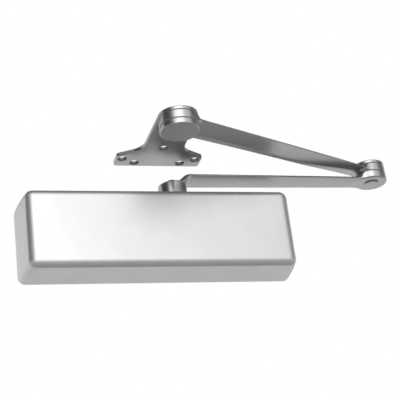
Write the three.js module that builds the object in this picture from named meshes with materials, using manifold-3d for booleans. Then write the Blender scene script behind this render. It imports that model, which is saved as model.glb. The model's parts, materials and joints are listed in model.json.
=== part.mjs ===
// Surface-mounted hydraulic door closer with a parallel arm. Millimetres, +Z up.
// The origin lies on the door face, straight behind the pinion and at the body's mid height.
// +X runs along the door towards the elbow, and -Y comes off the door into the room.

import * as THREE from "three";
import { LoftGeometry } from "three/addons/geometries/LoftGeometry.js";
import { mergeVertices } from "three/addons/utils/BufferGeometryUtils.js";
import Module from "manifold-3d";

const wasm = await Module();
wasm.setup();

// ---------------------------------------------------------------------------------------------
// Driving dimensions

const GAP = 0.3; // left between pieces that touch on the real closer
const SMOOTH = 32; // facets round a large visible disc
const BORE = 20; // facets round the cylinder and what fills it
const PLAIN = 20; // facets round a small or hidden turned piece
const SMALL = 12; // facets round a screw or its hole

const COVER = {
  length: 312,
  height: 91.2,
  depth: 52.7,
  wall: 2,
  leftOfPinion: 178.1,
  endSlope: 7.4, // how far each end wall leans in between back and front
  cornerRadius: 8.4,
  frontRound: 7.1,
  slotRoom: 1.2, // round the pinion's gland
  hubClearance: 2.2, // between the cover's top and the arm's hub
};

const BODY = {
  leftRoom: 20.1, // between the cover's end and the casting's
  rightRoom: 21.9,
  tubeRadius: 23.5,
  boreRadius: 19,
  padThickness: 6,
  padHalfHeight: 20,
  padCorner: 4,
  saddleHalfHeight: 13,
  bossRadius: 19.5,
  bossRoom: 3.6, // between the pinion boss's ends and the cover
  bossBoreRadius: 13.6,
  doorFacing: 1, // how far the casting's webs stop short of the door
};
const LUG = {
  fromLeftEnd: 20,
  fromRightEnd: 52,
  room: 5.6, // between the lugs' tips and the cover
  halfWidth: 11,
  radius: 9,
  holeRadius: 3.4,
  holeFromTip: 7,
};
const GUSSET = { halfThickness: 1.5, fromHole: 8.5, depth: 20, foot: 6 };
const POST = { fromLeftEnd: 46, fromPinion: 34, y: -13, halfWidth: 6, pilotRadius: 2.1, pilotDepth: 16 };
const COVER_SCREW = { length: 12, headRadius: 4.2, domeRadius: 3.2, rim: 1.2, head: 2, slotWidth: 1 };
const VALVE_BLOCK = { length: 36, room: 4.6, bottom: 18, back: -2, front: -34, lowerFront: -22 };

const TEETH = { count: 11, module: 2, pressureAngle: 25, addendum: 0.9, clearance: 0.25, backlash: 0.35 };
const PINION = {
  gearHalfHeight: 14.5,
  journalRadius: 8,
  square: 11,
  squareSink: 2, // from the hub's top down to the square's end
  lowerProud: 0.4, // below the lower bearing
  threadRadius: 3.3,
  threadDepth: 18,
};
const PISTON = {
  springHead: 19.5, // length of the solid head that the spring pushes
  endRoom: 26, // from the casting's right end to the piston at rest
  slotHalfWidth: 14.2,
  slotRoom: 1.9, // left at both ends of the stroke between the slot's end and the gear
  slotCorner: 5,
  cupWall: 6,
};
const ARM_SWING = 115; // degrees that the pinion turns as the door opens
const CHECK_BALL = { radius: 3, portRadius: 1.6, portLength: 3, lift: 0.4, retainerHole: 1.8, retainer: 2 };
const BEARING = { depth: 9.4, height: 11 }; // depth below the ends of the pinion boss
const SEAL = { height: 4.4, lipDrop: 1.2, lipWidth: 1.4, backWidth: 1.8 };
const GLAND = { proud: 1.2, notchWidth: 3, notchDepth: 2 };
const LOWER_PLUG = { proud: 1.2, socket: 10, socketDepth: 4 };
const CAP = {
  flangeRadius: 22.3,
  flangeThickness: 4.4,
  plugLength: 19,
  ringPlace: 7,
  ringRadius: 1.2,
  ringSquash: 0.15,
  recessDepth: 6,
  socket: 12,
  socketDepth: 6,
};

const SPRING = { wireRadius: 2.8, meanRadius: 14.9, turns: 9, endPitch: 6, stepsPerTurn: 9 };
const ADJUSTER = {
  threadRadius: 5,
  headRadius: 7,
  headLength: 7,
  socket: 8,
  socketDepth: 4,
  seatRoom: 2.4, // between the plug and the spring's seat when the screw is backed right off
  seatThickness: 8,
  pilotLength: 3,
  reach: 12,
};
const VALVE = {
  radius: 2.7,
  headRadius: 4,
  headLength: 5,
  length: 26,
  tip: 4,
  sink: 0.5,
  slotWidth: 1.2,
  slotDepth: 1.6,
};
// Each valve's depth and its distance from the top or bottom of the valve blocks
const VALVES = [
  { name: "sweep_valve", side: 1, y: -11, inset: 8 },
  { name: "latch_valve", side: 1, y: -25, inset: 8 },
  { name: "backcheck_valve", side: -1, y: -13, inset: 9 },
];

const HUB = { radius: 16.3, height: 12.4, edgeBreak: 0.8, spotRadius: 8.8, spotHeight: 1 };
const ARM_WASHER = { radius: 8, thickness: 1.6 };
const ARM_SCREW = {
  radius: 3,
  reach: 14, // below the hub's top
  headRadius: 5.4,
  headHeight: 5,
  headBreak: 0.6,
  socket: 5,
  socketDepth: 3,
};
const FORGING = { edge: 1.2, crown: 7.2, edgeBreak: 0.5 }; // thickness at the sides and in the middle
const MAIN_ARM = {
  length: 247.4,
  jogRise: 8.1,
  jogCentre: 14.4,
  jogLength: 13,
  ridgeLead: 2.8, // how much sooner the top starts up the jog than the underside
  underCrown: 0.4, // how far the middle of the underside stands below its sides
  halfWidthAtEye: 12.2,
  flare: 32, // distance from the elbow at which the bar starts to widen
  flareMeet: 58, // degrees round the eye at which the flare meets it
};
const ELBOW = {
  radius: 18.7,
  mainThickness: 9.2,
  lowerBreak: 1.4,
  upperBreak: 0.4,
  pinRadius: 6.4,
  pinEndRadius: 8.5,
  pinProud: 1.2,
  pinBreak: 0.7,
};
const ELBOW_CAP = { radius: 18.2, thickness: 3.8, lowerBreak: 0.4, upperBreak: 0.8 };
const FOREARM = {
  length: 286.7,
  angle: 22.84,
  eyeThickness: 9.6,
  eyeBreak: 0.4,
  barStep: 2.8, // from the eyes' undersides up to the bar's
  ridgeSink: 0.1, // from the eyes' tops down to the bar's ridge
  nearWidth: 17.9, // of the bar's near side, were it carried on to the shoe's axis
  taper: 0.0131, // width lost per millimetre at the shoe
  curve: 2.9e-5, // and how fast that grows
  farSag: 2, // how far the far side curves in from the line between the eyes
  shoeFlare: 38,
  shoeMeet: 72,
  elbowRadius: 18.4,
  elbowFlare: 30,
  elbowMeet: 55,
};
// The bevel along the far side of the forearm's underside widens and deepens towards the elbow
const BEVEL = { share: 0.56, widening: 0.5, rise: 1.2, deepening: 2.2, startsBefore: 100, endsBefore: 20 };
const SHOE = {
  radius: 21.5,
  discThickness: 7.2,
  discRound: 1.4,
  discBreak: 0.5,
  studRadius: 7,
  studFloor: 3, // left between the stud's blind hole and the disc's underside
};
const BUSH = { wall: 2.4, recess: 0.1 };
const RIVET_SINK = 0.3; // left between a rivet's end and the face round it
const PLATE = {
  thickness: 4,
  reach: 110.8, // from the shoe's axis to the edge that lies furthest from it
  halfWidth: 49.6,
  shoulder: 87.9, // where the sloping shoulder would meet the straight end
  shoulderAngle: 31,
  neckHalfWidth: 22.6,
  filletRadius: 21.4,
  cornerRadius: 3.6,
  holeRadius: 3.7,
  sinkRadius: 5.4,
  sinkDepth: 1.7,
  holes: [
    [-42.3, 93.9],
    [42.3, 93.9],
    [-26.6, 102.8],
    [26.6, 102.8],
    [0, 67.7],
  ],
};

// Places that follow from the sizes above
const coverLeft = -COVER.leftOfPinion;
const coverRight = COVER.length - COVER.leftOfPinion;
const coverTop = COVER.height / 2;
const pinionY = -COVER.depth / 2;
const bodyLeft = coverLeft + BODY.leftRoom;
const bodyRight = coverRight - BODY.rightRoom;
const insideTop = coverTop - COVER.wall;
const bossHalfHeight = insideTop - BODY.bossRoom;
const bearingTop = bossHalfHeight - BEARING.depth;
const sealTop = bearingTop + GAP + SEAL.height;
const shaftBottom = -bearingTop - PINION.lowerProud;
const valveBlockTop = insideTop - VALVE_BLOCK.room;
const lugReach = insideTop - LUG.room;
const lugZ = lugReach - LUG.holeFromTip;
const lugPlaces = [bodyLeft + LUG.fromLeftEnd, bodyRight - LUG.fromRightEnd];
const postPlaces = [bodyLeft + POST.fromLeftEnd, POST.fromPinion];
const springSeatX = bodyLeft + CAP.plugLength + ADJUSTER.seatRoom + ADJUSTER.seatThickness;
const hubBottom = coverTop + COVER.hubClearance;
const hubTop = hubBottom + HUB.height;
const barBottom = hubTop + MAIN_ARM.jogRise;
const mainEyeTop = barBottom + ELBOW.mainThickness;
const foreEyeBottom = mainEyeTop + GAP;
const foreEyeTop = foreEyeBottom + FOREARM.eyeThickness;
const plateBottom = foreEyeTop + GAP;
const pitchRadius = (TEETH.module * TEETH.count) / 2;
const gearTip = pitchRadius + TEETH.addendum * TEETH.module;
const stroke = pitchRadius * THREE.MathUtils.degToRad(ARM_SWING);
const slotLeft = -gearTip - PISTON.slotRoom;
const slotRight = gearTip + stroke + PISTON.slotRoom;
const pistonLeft = slotLeft - PISTON.springHead;
const pistonRight = bodyRight - PISTON.endRoom;
const ballSeatX = slotRight + CHECK_BALL.portLength;
const elbow = new THREE.Vector2(MAIN_ARM.length, pinionY);
const forearmTurn = THREE.MathUtils.degToRad(FOREARM.angle);
const shoe = new THREE.Vector2(
  elbow.x - FOREARM.length * Math.cos(forearmTurn),
  elbow.y - FOREARM.length * Math.sin(forearmTurn),
);

// ---------------------------------------------------------------------------------------------
// Finishes

const finish = (color, roughness, metalness) => () =>
  new THREE.MeshStandardMaterial({ color, roughness, metalness });
const silverPaint = finish(0xc9cbcd, 0.42, 0.55);
const forgedSteel = finish(0xb9bcbf, 0.38, 0.8);
const castIron = finish(0x6f7073, 0.7, 0.5);
const groundSteel = finish(0xa7a9ad, 0.25, 1);
const springSteel = finish(0x55585c, 0.4, 0.9);
const zincSteel = finish(0xc4c6c2, 0.32, 0.9);
const bronze = finish(0xa9803f, 0.45, 0.9);
const rubber = finish(0x1c1c1d, 0.85, 0);

// ---------------------------------------------------------------------------------------------
// Helpers: closed three.js geometry in, solids out

/** Merges a closed geometry's shared corners and makes a solid of it. */
function solid(geometry) {
  const bare = new THREE.BufferGeometry();
  bare.setAttribute("position", geometry.getAttribute("position"));
  bare.setIndex(geometry.index);
  const merged = mergeVertices(bare, 1e-4);
  const index = merged.index.array;
  const corners = [];
  for (let i = 0; i < index.length; i += 3) {
    const [a, b, c] = [index[i], index[i + 1], index[i + 2]];
    if (a !== b && b !== c && c !== a) corners.push(a, b, c);
  }
  const mesh = new wasm.Mesh({
    numProp: 3,
    vertProperties: new Float32Array(merged.attributes.position.array),
    triVerts: new Uint32Array(corners),
  });
  return new wasm.Manifold(mesh);
}

/** Joins any number of solids. */
const join = (first, ...others) => others.reduce((sum, next) => sum.add(next), first);

/** Cuts any number of solids out of the first one. */
const cut = (first, ...others) => others.reduce((rest, next) => rest.subtract(next), first);

/** A named mesh of one solid. */
function piece(name, body, material) {
  const mesh = body.getMesh();
  const geometry = new THREE.BufferGeometry();
  geometry.setAttribute("position", new THREE.BufferAttribute(mesh.vertProperties, 3));
  geometry.setIndex(new THREE.BufferAttribute(mesh.triVerts, 1));
  geometry.computeVertexNormals();
  const part = new THREE.Mesh(geometry, material());
  part.name = name;
  return part;
}

/** Turns a profile of [radius, height] pairs about the Z axis. */
function turned(profile, segments = PLAIN) {
  const points = profile.map(([radius, height]) => new THREE.Vector2(radius, height));
  return new THREE.LatheGeometry(points, segments).rotateX(Math.PI / 2);
}

/** A turned rod or disc between two heights, with optional broken edges. */
function rodProfile(radius, low, high, lowBreak = 0, highBreak = 0) {
  const profile = [[0, low]];
  if (lowBreak) profile.push([radius - lowBreak, low]);
  profile.push([radius, low + lowBreak]);
  profile.push([radius, high - highBreak]);
  if (highBreak) profile.push([radius - highBreak, high]);
  profile.push([0, high]);
  return profile;
}

/** A turned ring with a plain rectangular section. */
const ringProfile = (inner, outer, low, high) => [
  [inner, low],
  [outer, low],
  [outer, high],
  [inner, high],
  [inner, low],
];

/** Stands a geometry that was turned about Z on a vertical axis through x and y. */
const upright = (geometry, x, y) => solid(geometry.translate(x, y, 0));

/** Lays a geometry that was turned about Z along +X, on the axis through y and z. */
const alongX = (geometry, y = pinionY, z = 0) => solid(geometry.rotateY(Math.PI / 2).translate(0, y, z));

/** A rod along Z, for holes and pins. */
const post = (radius, low, high, x, y, segments = PLAIN) =>
  upright(turned(rodProfile(radius, low, high), segments), x, y);

/** A rod along X. */
const bar = (radius, low, high, y = pinionY, z = 0, segments = PLAIN) =>
  alongX(turned(rodProfile(radius, low, high), segments), y, z);

/** A rod along Y. */
const peg = (radius, low, high, x, z, segments = SMALL) =>
  solid(turned(rodProfile(radius, low, high), segments).rotateX(-Math.PI / 2).translate(x, 0, z));

/** A block between two opposite corners. */
function block([x0, y0, z0], [x1, y1, z1]) {
  const box = new THREE.BoxGeometry(x1 - x0, y1 - y0, z1 - z0);
  return solid(box.translate((x0 + x1) / 2, (y0 + y1) / 2, (z0 + z1) / 2));
}

/** An outline in X and Y, raised between two heights. */
function raised(shape, low, high, curveSegments = 8) {
  const options = { depth: high - low, bevelEnabled: false, curveSegments };
  return new THREE.ExtrudeGeometry(shape, options).translate(0, 0, low);
}

/** A rectangle with rounded corners. */
function roundedRectangle(x0, y0, x1, y1, radius) {
  const shape = new THREE.Shape();
  shape.absarc(x1 - radius, y0 + radius, radius, -Math.PI / 2, 0);
  shape.absarc(x1 - radius, y1 - radius, radius, 0, Math.PI / 2);
  shape.absarc(x0 + radius, y1 - radius, radius, Math.PI / 2, Math.PI);
  shape.absarc(x0 + radius, y0 + radius, radius, Math.PI, 1.5 * Math.PI);
  return shape;
}

/** A regular hexagon, given its distance across flats. */
function hexagon(acrossFlats) {
  const reach = acrossFlats / Math.sqrt(3);
  const corners = [0, 1, 2, 3, 4, 5].map((k) => (k * Math.PI) / 3);
  return new THREE.Shape(corners.map((a) => new THREE.Vector2(reach * Math.cos(a), reach * Math.sin(a))));
}

// ---------------------------------------------------------------------------------------------
// Cover

/** One ring of the cover: a rounded rectangle in X and Z at depth y, drawn in by an inset. */
function coverRing(y, inset, wall) {
  const lean = (COVER.endSlope * -y) / COVER.depth;
  const radius = Math.max(COVER.cornerRadius - wall - inset, 0.8);
  const x0 = coverLeft + wall + lean + inset + radius;
  const x1 = coverRight - wall - lean - inset - radius;
  const z1 = coverTop - wall - inset - radius;
  const centres = [
    [x1, -z1],
    [x1, z1],
    [x0, z1],
    [x0, -z1],
  ];
  const steps = 5;
  const ring = [];
  centres.forEach(([x, z], corner) => {
    for (let k = 0; k <= steps; k++) {
      const angle = (corner - 1 + k / steps) * (Math.PI / 2);
      ring.push(new THREE.Vector3(x + radius * Math.cos(angle), y, z + radius * Math.sin(angle)));
    }
  });
  return ring;
}

/** The cover's outer or inner form, from the door face to the rounded front. */
function coverForm(wall, back) {
  const round = COVER.frontRound - wall;
  const start = -(COVER.depth - COVER.frontRound);
  const rings = [coverRing(back, 0, wall)];
  const steps = 5;
  for (let k = 0; k <= steps; k++) {
    const angle = (k / steps) * (Math.PI / 2);
    rings.push(coverRing(start - round * Math.sin(angle), round * (1 - Math.cos(angle)), wall));
  }
  return solid(new LoftGeometry(rings, { capStart: true, capEnd: true }));
}

/** Open-backed shell with a slot for the pinion's gland in its top. */
function makeCover() {
  const shell = cut(coverForm(0, 0), coverForm(COVER.wall, 1));
  const slotRadius = BODY.bossBoreRadius + COVER.slotRoom;
  const slot = new THREE.Shape();
  slot.moveTo(slotRadius, 5);
  slot.lineTo(-slotRadius, 5);
  slot.absarc(0, pinionY, slotRadius, Math.PI, 2 * Math.PI);
  const [low, high] = [coverTop - COVER.wall - 1, coverTop + 1];
  const screwHoles = postPlaces.map((x) => post(POST.pilotRadius + GAP, low, high, x, POST.y, SMALL));
  return cut(shell, solid(raised(slot, low, high, 12)), ...screwHoles);
}

/** Pan-head screw that holds the cover to a post of the body. */
function makeCoverScrew(x) {
  const { length, headRadius, domeRadius, rim, head, slotWidth } = COVER_SCREW;
  const seat = coverTop + GAP;
  const shank = POST.pilotRadius - GAP;
  const profile = [
    [0, seat - length],
    [shank, seat - length],
    [shank, seat],
    [headRadius, seat],
    [headRadius, seat + rim],
    [domeRadius, seat + head],
    [0, seat + head],
  ];
  const slot = block(
    [x - headRadius - 1, POST.y - slotWidth / 2, seat + head / 2],
    [x + headRadius + 1, POST.y + slotWidth / 2, seat + head + 1],
  );
  return cut(upright(turned(profile, SMALL), x, POST.y), slot);
}

// ---------------------------------------------------------------------------------------------
// Closer body

/** Flat pad that lies on the door, with four screw lugs. */
function makePad() {
  const h = BODY.padHalfHeight;
  const flat = (shape) => solid(raised(shape, 0, BODY.padThickness, 4).rotateX(Math.PI / 2));
  const lugs = lugPlaces.map((x) =>
    flat(roundedRectangle(x - LUG.halfWidth, -lugReach, x + LUG.halfWidth, lugReach, LUG.radius)),
  );
  return join(flat(roundedRectangle(bodyLeft, -h, bodyRight, h, BODY.padCorner)), ...lugs);
}

/** Thin rib that props a lug against the cylinder, above (side 1) or below (side -1) it. */
function makeGusset(x, side) {
  const { halfThickness, depth, foot } = GUSSET;
  const root = -BODY.padThickness + 1;
  const outline = new THREE.Shape([
    new THREE.Vector2(root, side * (lugZ + foot)),
    new THREE.Vector2(root - 1, side * (lugZ + foot)),
    new THREE.Vector2(-depth, side * (BODY.tubeRadius - 1)),
    new THREE.Vector2(pinionY, side * (BODY.tubeRadius - 2)),
    new THREE.Vector2(root, side * (BODY.boreRadius - 4)),
  ]);
  const rib = raised(outline, -halfThickness, halfThickness);
  return solid(rib.rotateZ(Math.PI / 2).rotateY(Math.PI / 2).translate(x, 0, 0));
}

/** Iron casting: cylinder, pinion boss, pad, ribs, cover posts and valve blocks. */
function makeCasting() {
  const { bossRadius, saddleHalfHeight, doorFacing } = BODY;
  const tube = bar(BODY.tubeRadius, bodyLeft, bodyRight, pinionY, 0, BORE);
  const boss = post(bossRadius, -bossHalfHeight, bossHalfHeight, 0, pinionY, BORE);
  const web = block([-bossRadius, pinionY, -bossHalfHeight], [bossRadius, -doorFacing, bossHalfHeight]);
  const saddle = block([bodyLeft, pinionY, -saddleHalfHeight], [bodyRight, -doorFacing, saddleHalfHeight]);
  const w = POST.halfWidth;
  const posts = postPlaces.map((x) =>
    block([x - w, POST.y - w, 0], [x + w, -doorFacing, insideTop - GAP]),
  );
  const { length, front, lowerFront, back, bottom } = VALVE_BLOCK;
  const valveBlocks = [
    block([bodyRight - length, front, bottom], [bodyRight, back, valveBlockTop]),
    block([bodyRight - length, lowerFront, -valveBlockTop], [bodyRight, back, -bottom]),
  ];
  const gussets = lugPlaces.flatMap((x) =>
    [-1, 1].flatMap((side) => [-1, 1].map((end) => makeGusset(x + end * GUSSET.fromHole, side))),
  );
  return join(tube, boss, web, saddle, makePad(), ...posts, ...valveBlocks, ...gussets);
}

/** Height of a regulating valve's axis. */
const valveZ = ({ side, inset }) => side * (valveBlockTop - inset);

/** The casting with its bores, screw holes and valve seats. */
function makeBody() {
  const bores = [
    bar(BODY.boreRadius, bodyLeft - 1, bodyRight + 1, pinionY, 0, BORE),
    post(BODY.bossBoreRadius, -bossHalfHeight - 1, bossHalfHeight + 1, 0, pinionY),
  ];
  const lugHoles = lugPlaces.flatMap((x) =>
    [-lugZ, lugZ].map((z) => peg(LUG.holeRadius, -BODY.padThickness - 1, 1, x, z)),
  );
  const pilots = postPlaces.map((x) =>
    post(POST.pilotRadius, coverTop - POST.pilotDepth, coverTop, x, POST.y, SMALL),
  );
  const valveBores = VALVES.map((valve) => {
    const end = bodyRight - VALVE.sink;
    const shoulder = end - VALVE.headLength - GAP;
    const profile = [
      [0, end - VALVE.length - GAP],
      [VALVE.radius + GAP, end - VALVE.length + VALVE.tip - 2 * GAP],
      [VALVE.radius + GAP, shoulder],
      [VALVE.headRadius + GAP, shoulder],
      [VALVE.headRadius + GAP, bodyRight + 1],
      [0, bodyRight + 1],
    ];
    return alongX(turned(profile, SMALL), valve.y, valveZ(valve));
  });
  return cut(makeCasting(), ...bores, ...lugHoles, ...pilots, ...valveBores);
}

/** Needle-ended regulating screw with a slotted head. */
function makeValve(valve) {
  const { slotWidth, slotDepth, headRadius } = VALVE;
  const [y, z] = [valve.y, valveZ(valve)];
  const end = bodyRight - VALVE.sink;
  const profile = [
    [0, end - VALVE.length + GAP],
    [VALVE.radius, end - VALVE.length + VALVE.tip],
    [VALVE.radius, end - VALVE.headLength],
    [VALVE.headRadius, end - VALVE.headLength],
    [VALVE.headRadius, end],
    [0, end],
  ];
  const slot = block(
    [end - slotDepth, y - headRadius - 1, z - slotWidth / 2],
    [end + 1, y + headRadius + 1, z + slotWidth / 2],
  );
  return cut(alongX(turned(profile, SMALL), y, z), slot);
}

/** Profile of an end plug: outer flange, spigot and a groove for the sealing ring. Heights run inwards. */
function plugProfile(inner) {
  const spigot = BODY.boreRadius - GAP;
  const groove = spigot - 2 * CAP.ringRadius - GAP;
  const start = CAP.ringPlace - CAP.ringRadius - GAP;
  return [
    [inner, -CAP.flangeThickness - GAP],
    [CAP.flangeRadius - 1, -CAP.flangeThickness - GAP],
    [CAP.flangeRadius, 1 - CAP.flangeThickness - GAP],
    [CAP.flangeRadius, -GAP],
    [spigot, -GAP],
    [spigot, start],
    [groove, start],
    [groove, start + 2 * (CAP.ringRadius + GAP)],
    [spigot, start + 2 * (CAP.ringRadius + GAP)],
    [spigot, CAP.plugLength - 1],
    [spigot - 1, CAP.plugLength],
    [inner, CAP.plugLength],
  ];
}

/** Puts a geometry that was turned with its heights running into the bore at the left end. */
const atLeftEnd = (geometry) => alongX(geometry.translate(0, 0, bodyLeft));

/** The same at the right end, turned end for end. */
const atRightEnd = (geometry) => alongX(geometry.rotateX(Math.PI).translate(0, 0, bodyRight));

/** Plug at the spring end, pierced for the adjusting screw. */
function makeSpringCap() {
  const inner = ADJUSTER.threadRadius + GAP;
  const recess = ADJUSTER.headRadius + 2 * GAP;
  const mouth = [recess, -CAP.flangeThickness - GAP];
  const [, ...outside] = plugProfile(inner);
  const profile = [mouth, ...outside, [inner, CAP.recessDepth], [recess, CAP.recessDepth], mouth];
  return atLeftEnd(turned(profile, BORE));
}

/** Solid plug at the cylinder end, with a hexagon socket for its key. */
function makeCylinderCap() {
  const plug = atRightEnd(turned(plugProfile(0), BORE));
  const outer = bodyRight + GAP + CAP.flangeThickness;
  const socket = raised(hexagon(CAP.socket), outer - CAP.socketDepth, outer + 1);
  return cut(plug, alongX(socket));
}

/** Rubber ring in the groove of an end plug. */
function ringGeometry() {
  const spigot = BODY.boreRadius - GAP;
  const ring = new THREE.Shape();
  ring.absarc(spigot - CAP.ringRadius + CAP.ringSquash, CAP.ringPlace, CAP.ringRadius, 0, 2 * Math.PI);
  const points = ring.getPoints(4).map((p) => [p.x, p.y]);
  return turned(points, BORE);
}

// ---------------------------------------------------------------------------------------------
// Rack and pinion

/** Outline of the pinion's teeth: involute flanks between the root and tip circles. */
function pinionTeeth() {
  const { count, module: size, addendum, clearance, backlash } = TEETH;
  const pressure = THREE.MathUtils.degToRad(TEETH.pressureAngle);
  const base = pitchRadius * Math.cos(pressure);
  const root = pitchRadius - (addendum + clearance) * size;
  const involute = (radius) => {
    const angle = Math.acos(Math.min(1, base / radius));
    return Math.tan(angle) - angle;
  };
  // Half of the angle that a tooth takes at a given radius
  const pitchHalf = (Math.PI * size) / 4 - backlash / 2;
  const atPitch = pitchHalf / pitchRadius + involute(pitchRadius);
  const halfAngle = (radius) => atPitch - involute(Math.max(radius, base));
  const flank = [root, base, (base + gearTip) / 2, gearTip];
  const points = [];
  for (let tooth = 0; tooth < count; tooth++) {
    const middle = ((tooth + 0.5) / count) * 2 * Math.PI - Math.PI / 2;
    const rising = flank.map((radius) => [radius, middle - halfAngle(radius)]);
    const falling = flank.map((radius) => [radius, middle + halfAngle(radius)]).reverse();
    for (const [radius, angle] of [...rising, ...falling]) {
      points.push(new THREE.Vector2(radius * Math.cos(angle), radius * Math.sin(angle)));
    }
  }
  return new THREE.Shape(points);
}

/** One-piece shaft: journals, gear, square end for the arm and a tapped hole for its screw. */
function makePinion() {
  const gear = solid(raised(pinionTeeth(), -PINION.gearHalfHeight, PINION.gearHalfHeight));
  const top = hubTop - PINION.squareSink;
  const shaftTop = hubBottom - 1.5;
  const shaft = solid(turned(rodProfile(PINION.journalRadius, shaftBottom, shaftTop, 0.8, 0.8)));
  const half = PINION.square / 2;
  const square = solid(raised(roundedRectangle(-half, -half, half, half, 1), shaftTop - 2.5, top, 2));
  const thread = solid(turned(rodProfile(PINION.threadRadius, top - PINION.threadDepth, top + 1), SMALL));
  return cut(join(gear, shaft, square), thread).translate([0, pinionY, 0]);
}

/** Outline of the rack: straight-sided teeth on a back that lies outside the slot. */
function rackOutline(left, right) {
  const { module: size, addendum, clearance } = TEETH;
  const pitch = Math.PI * size;
  const slope = Math.tan(THREE.MathUtils.degToRad(TEETH.pressureAngle));
  const tipY = -pitchRadius + addendum * size;
  const rootY = -pitchRadius - (addendum + clearance) * size;
  const half = pitch / 4;
  const tipHalf = half - addendum * size * slope;
  const rootHalf = half + (addendum + clearance) * size * slope;
  const shape = new THREE.Shape();
  const back = -PISTON.slotHalfWidth - 1;
  shape.moveTo(left, back);
  shape.lineTo(right, back);
  shape.lineTo(right, rootY);
  for (let k = Math.floor(right / pitch); k >= Math.ceil(left / pitch); k--) {
    const x = k * pitch;
    if (x + rootHalf > right || x - rootHalf < left) continue;
    shape.lineTo(x + rootHalf, rootY);
    shape.lineTo(x + tipHalf, tipY);
    shape.lineTo(x - tipHalf, tipY);
    shape.lineTo(x - rootHalf, rootY);
  }
  shape.lineTo(left, rootY);
  return shape;
}

/** Piston: two heads joined by side walls, one of which carries the rack. */
function makePiston() {
  const radius = BODY.boreRadius - GAP;
  const blank = alongX(turned(rodProfile(radius, pistonLeft, pistonRight, 1, 1), BORE));
  const w = PISTON.slotHalfWidth;
  const slot = roundedRectangle(slotLeft, -w, slotRight, w, PISTON.slotCorner);
  const slotCut = solid(raised(slot, -BODY.tubeRadius, BODY.tubeRadius, 3).translate(0, pinionY, 0));
  const rackHalf = PINION.gearHalfHeight - 2;
  const rackBar = raised(rackOutline(slotLeft + 1, slotRight - 1), -rackHalf, rackHalf);
  const rack = solid(rackBar.translate(0, pinionY, 0)).intersect(blank);
  const { radius: ball, portRadius, lift } = CHECK_BALL;
  const cupFloor = ballSeatX + lift + 2 * ball - 1.4;
  const cup = bar(BODY.boreRadius - PISTON.cupWall, cupFloor, pistonRight + 1);
  const ballSeat = bar(ball + GAP, ballSeatX, cupFloor + 1, pinionY, 0, SMALL);
  const port = bar(portRadius, slotRight - 1, ballSeatX + 1, pinionY, 0, SMALL);
  return cut(join(cut(blank, slotCut), rack), cup, ballSeat, port);
}

/** Ball of the piston's one-way valve. */
function makeCheckBall() {
  const { radius, lift } = CHECK_BALL;
  const ball = new THREE.SphereGeometry(radius, 12, 8);
  return solid(ball.translate(ballSeatX + lift + radius, pinionY, 0));
}

/** Pierced disc that keeps the ball in its seat. */
function makeBallRetainer() {
  const { radius, lift, retainerHole, retainer } = CHECK_BALL;
  const low = ballSeatX + lift + 2 * radius + GAP;
  const outer = BODY.boreRadius - PISTON.cupWall - GAP;
  return alongX(turned(ringProfile(retainerHole, outer, low, low + retainer)));
}

/** Bearing ring round a journal, above or below the gear. */
function makeBearing(low) {
  const inner = PINION.journalRadius + GAP;
  const outer = BODY.bossBoreRadius - GAP;
  return upright(turned(ringProfile(inner, outer, low, low + BEARING.height)), 0, pinionY);
}

/** Lip seal above the upper bearing. */
function makePinionSeal(low) {
  const inner = PINION.journalRadius + GAP;
  const outer = BODY.bossBoreRadius - GAP;
  const profile = [
    [inner, low + SEAL.lipDrop],
    [inner + SEAL.lipWidth, low],
    [outer, low],
    [outer, low + SEAL.height],
    [inner + SEAL.backWidth, low + SEAL.height],
    [inner, low + SEAL.lipDrop],
  ];
  return upright(turned(profile), 0, pinionY);
}

/** Screwed gland that keeps the seal down and stands up through the cover's slot. */
function makeGland(low) {
  const inner = PINION.journalRadius + GAP;
  const outer = BODY.bossBoreRadius - GAP;
  const high = coverTop + GLAND.proud;
  const ring = [
    [inner, low],
    [outer, low],
    [outer, high - 1],
    [outer - 1, high],
    [inner, high],
    [inner, low],
  ];
  const notches = [0, 1].map((k) => {
    const notch = new THREE.BoxGeometry(GLAND.notchWidth, 3 * outer, 2 * GLAND.notchDepth);
    return solid(notch.rotateZ((k * Math.PI) / 2).translate(0, 0, high));
  });
  return cut(solid(turned(ring)), ...notches).translate([0, pinionY, 0]);
}

/** Plug that closes the boss below the pinion. */
function makeLowerPlug(high) {
  const low = -bossHalfHeight - LOWER_PLUG.proud;
  const outer = BODY.bossBoreRadius - GAP;
  const plug = upright(turned(rodProfile(outer, low, high, 0.8)), 0, pinionY);
  const key = raised(hexagon(LOWER_PLUG.socket), low - 1, low + LOWER_PLUG.socketDepth);
  const socket = solid(key.translate(0, pinionY, 0));
  const recess = post(PINION.journalRadius + GAP, shaftBottom - GAP, high + 1, 0, pinionY);
  return cut(plug, socket, recess);
}

// ---------------------------------------------------------------------------------------------
// Spring and its adjuster

/** Helix along +X whose first and last turns lie almost closed. */
class SpringCurve extends THREE.Curve {
  constructor(start, end) {
    super();
    this.start = start;
    this.end = end;
  }

  getPoint(t, target = new THREE.Vector3()) {
    const { turns, endPitch, meanRadius } = SPRING;
    const turn = t * turns;
    const middlePitch = (this.end - this.start - 2 * endPitch) / (turns - 2);
    const inFirst = Math.min(turn, 1);
    const inLast = Math.max(turn - (turns - 1), 0);
    const inMiddle = turn - inFirst - inLast;
    const x = this.start + endPitch * (inFirst + inLast) + middlePitch * inMiddle;
    const angle = 2 * Math.PI * turn;
    return target.set(x, pinionY + meanRadius * Math.cos(angle), meanRadius * Math.sin(angle));
  }
}

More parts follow.
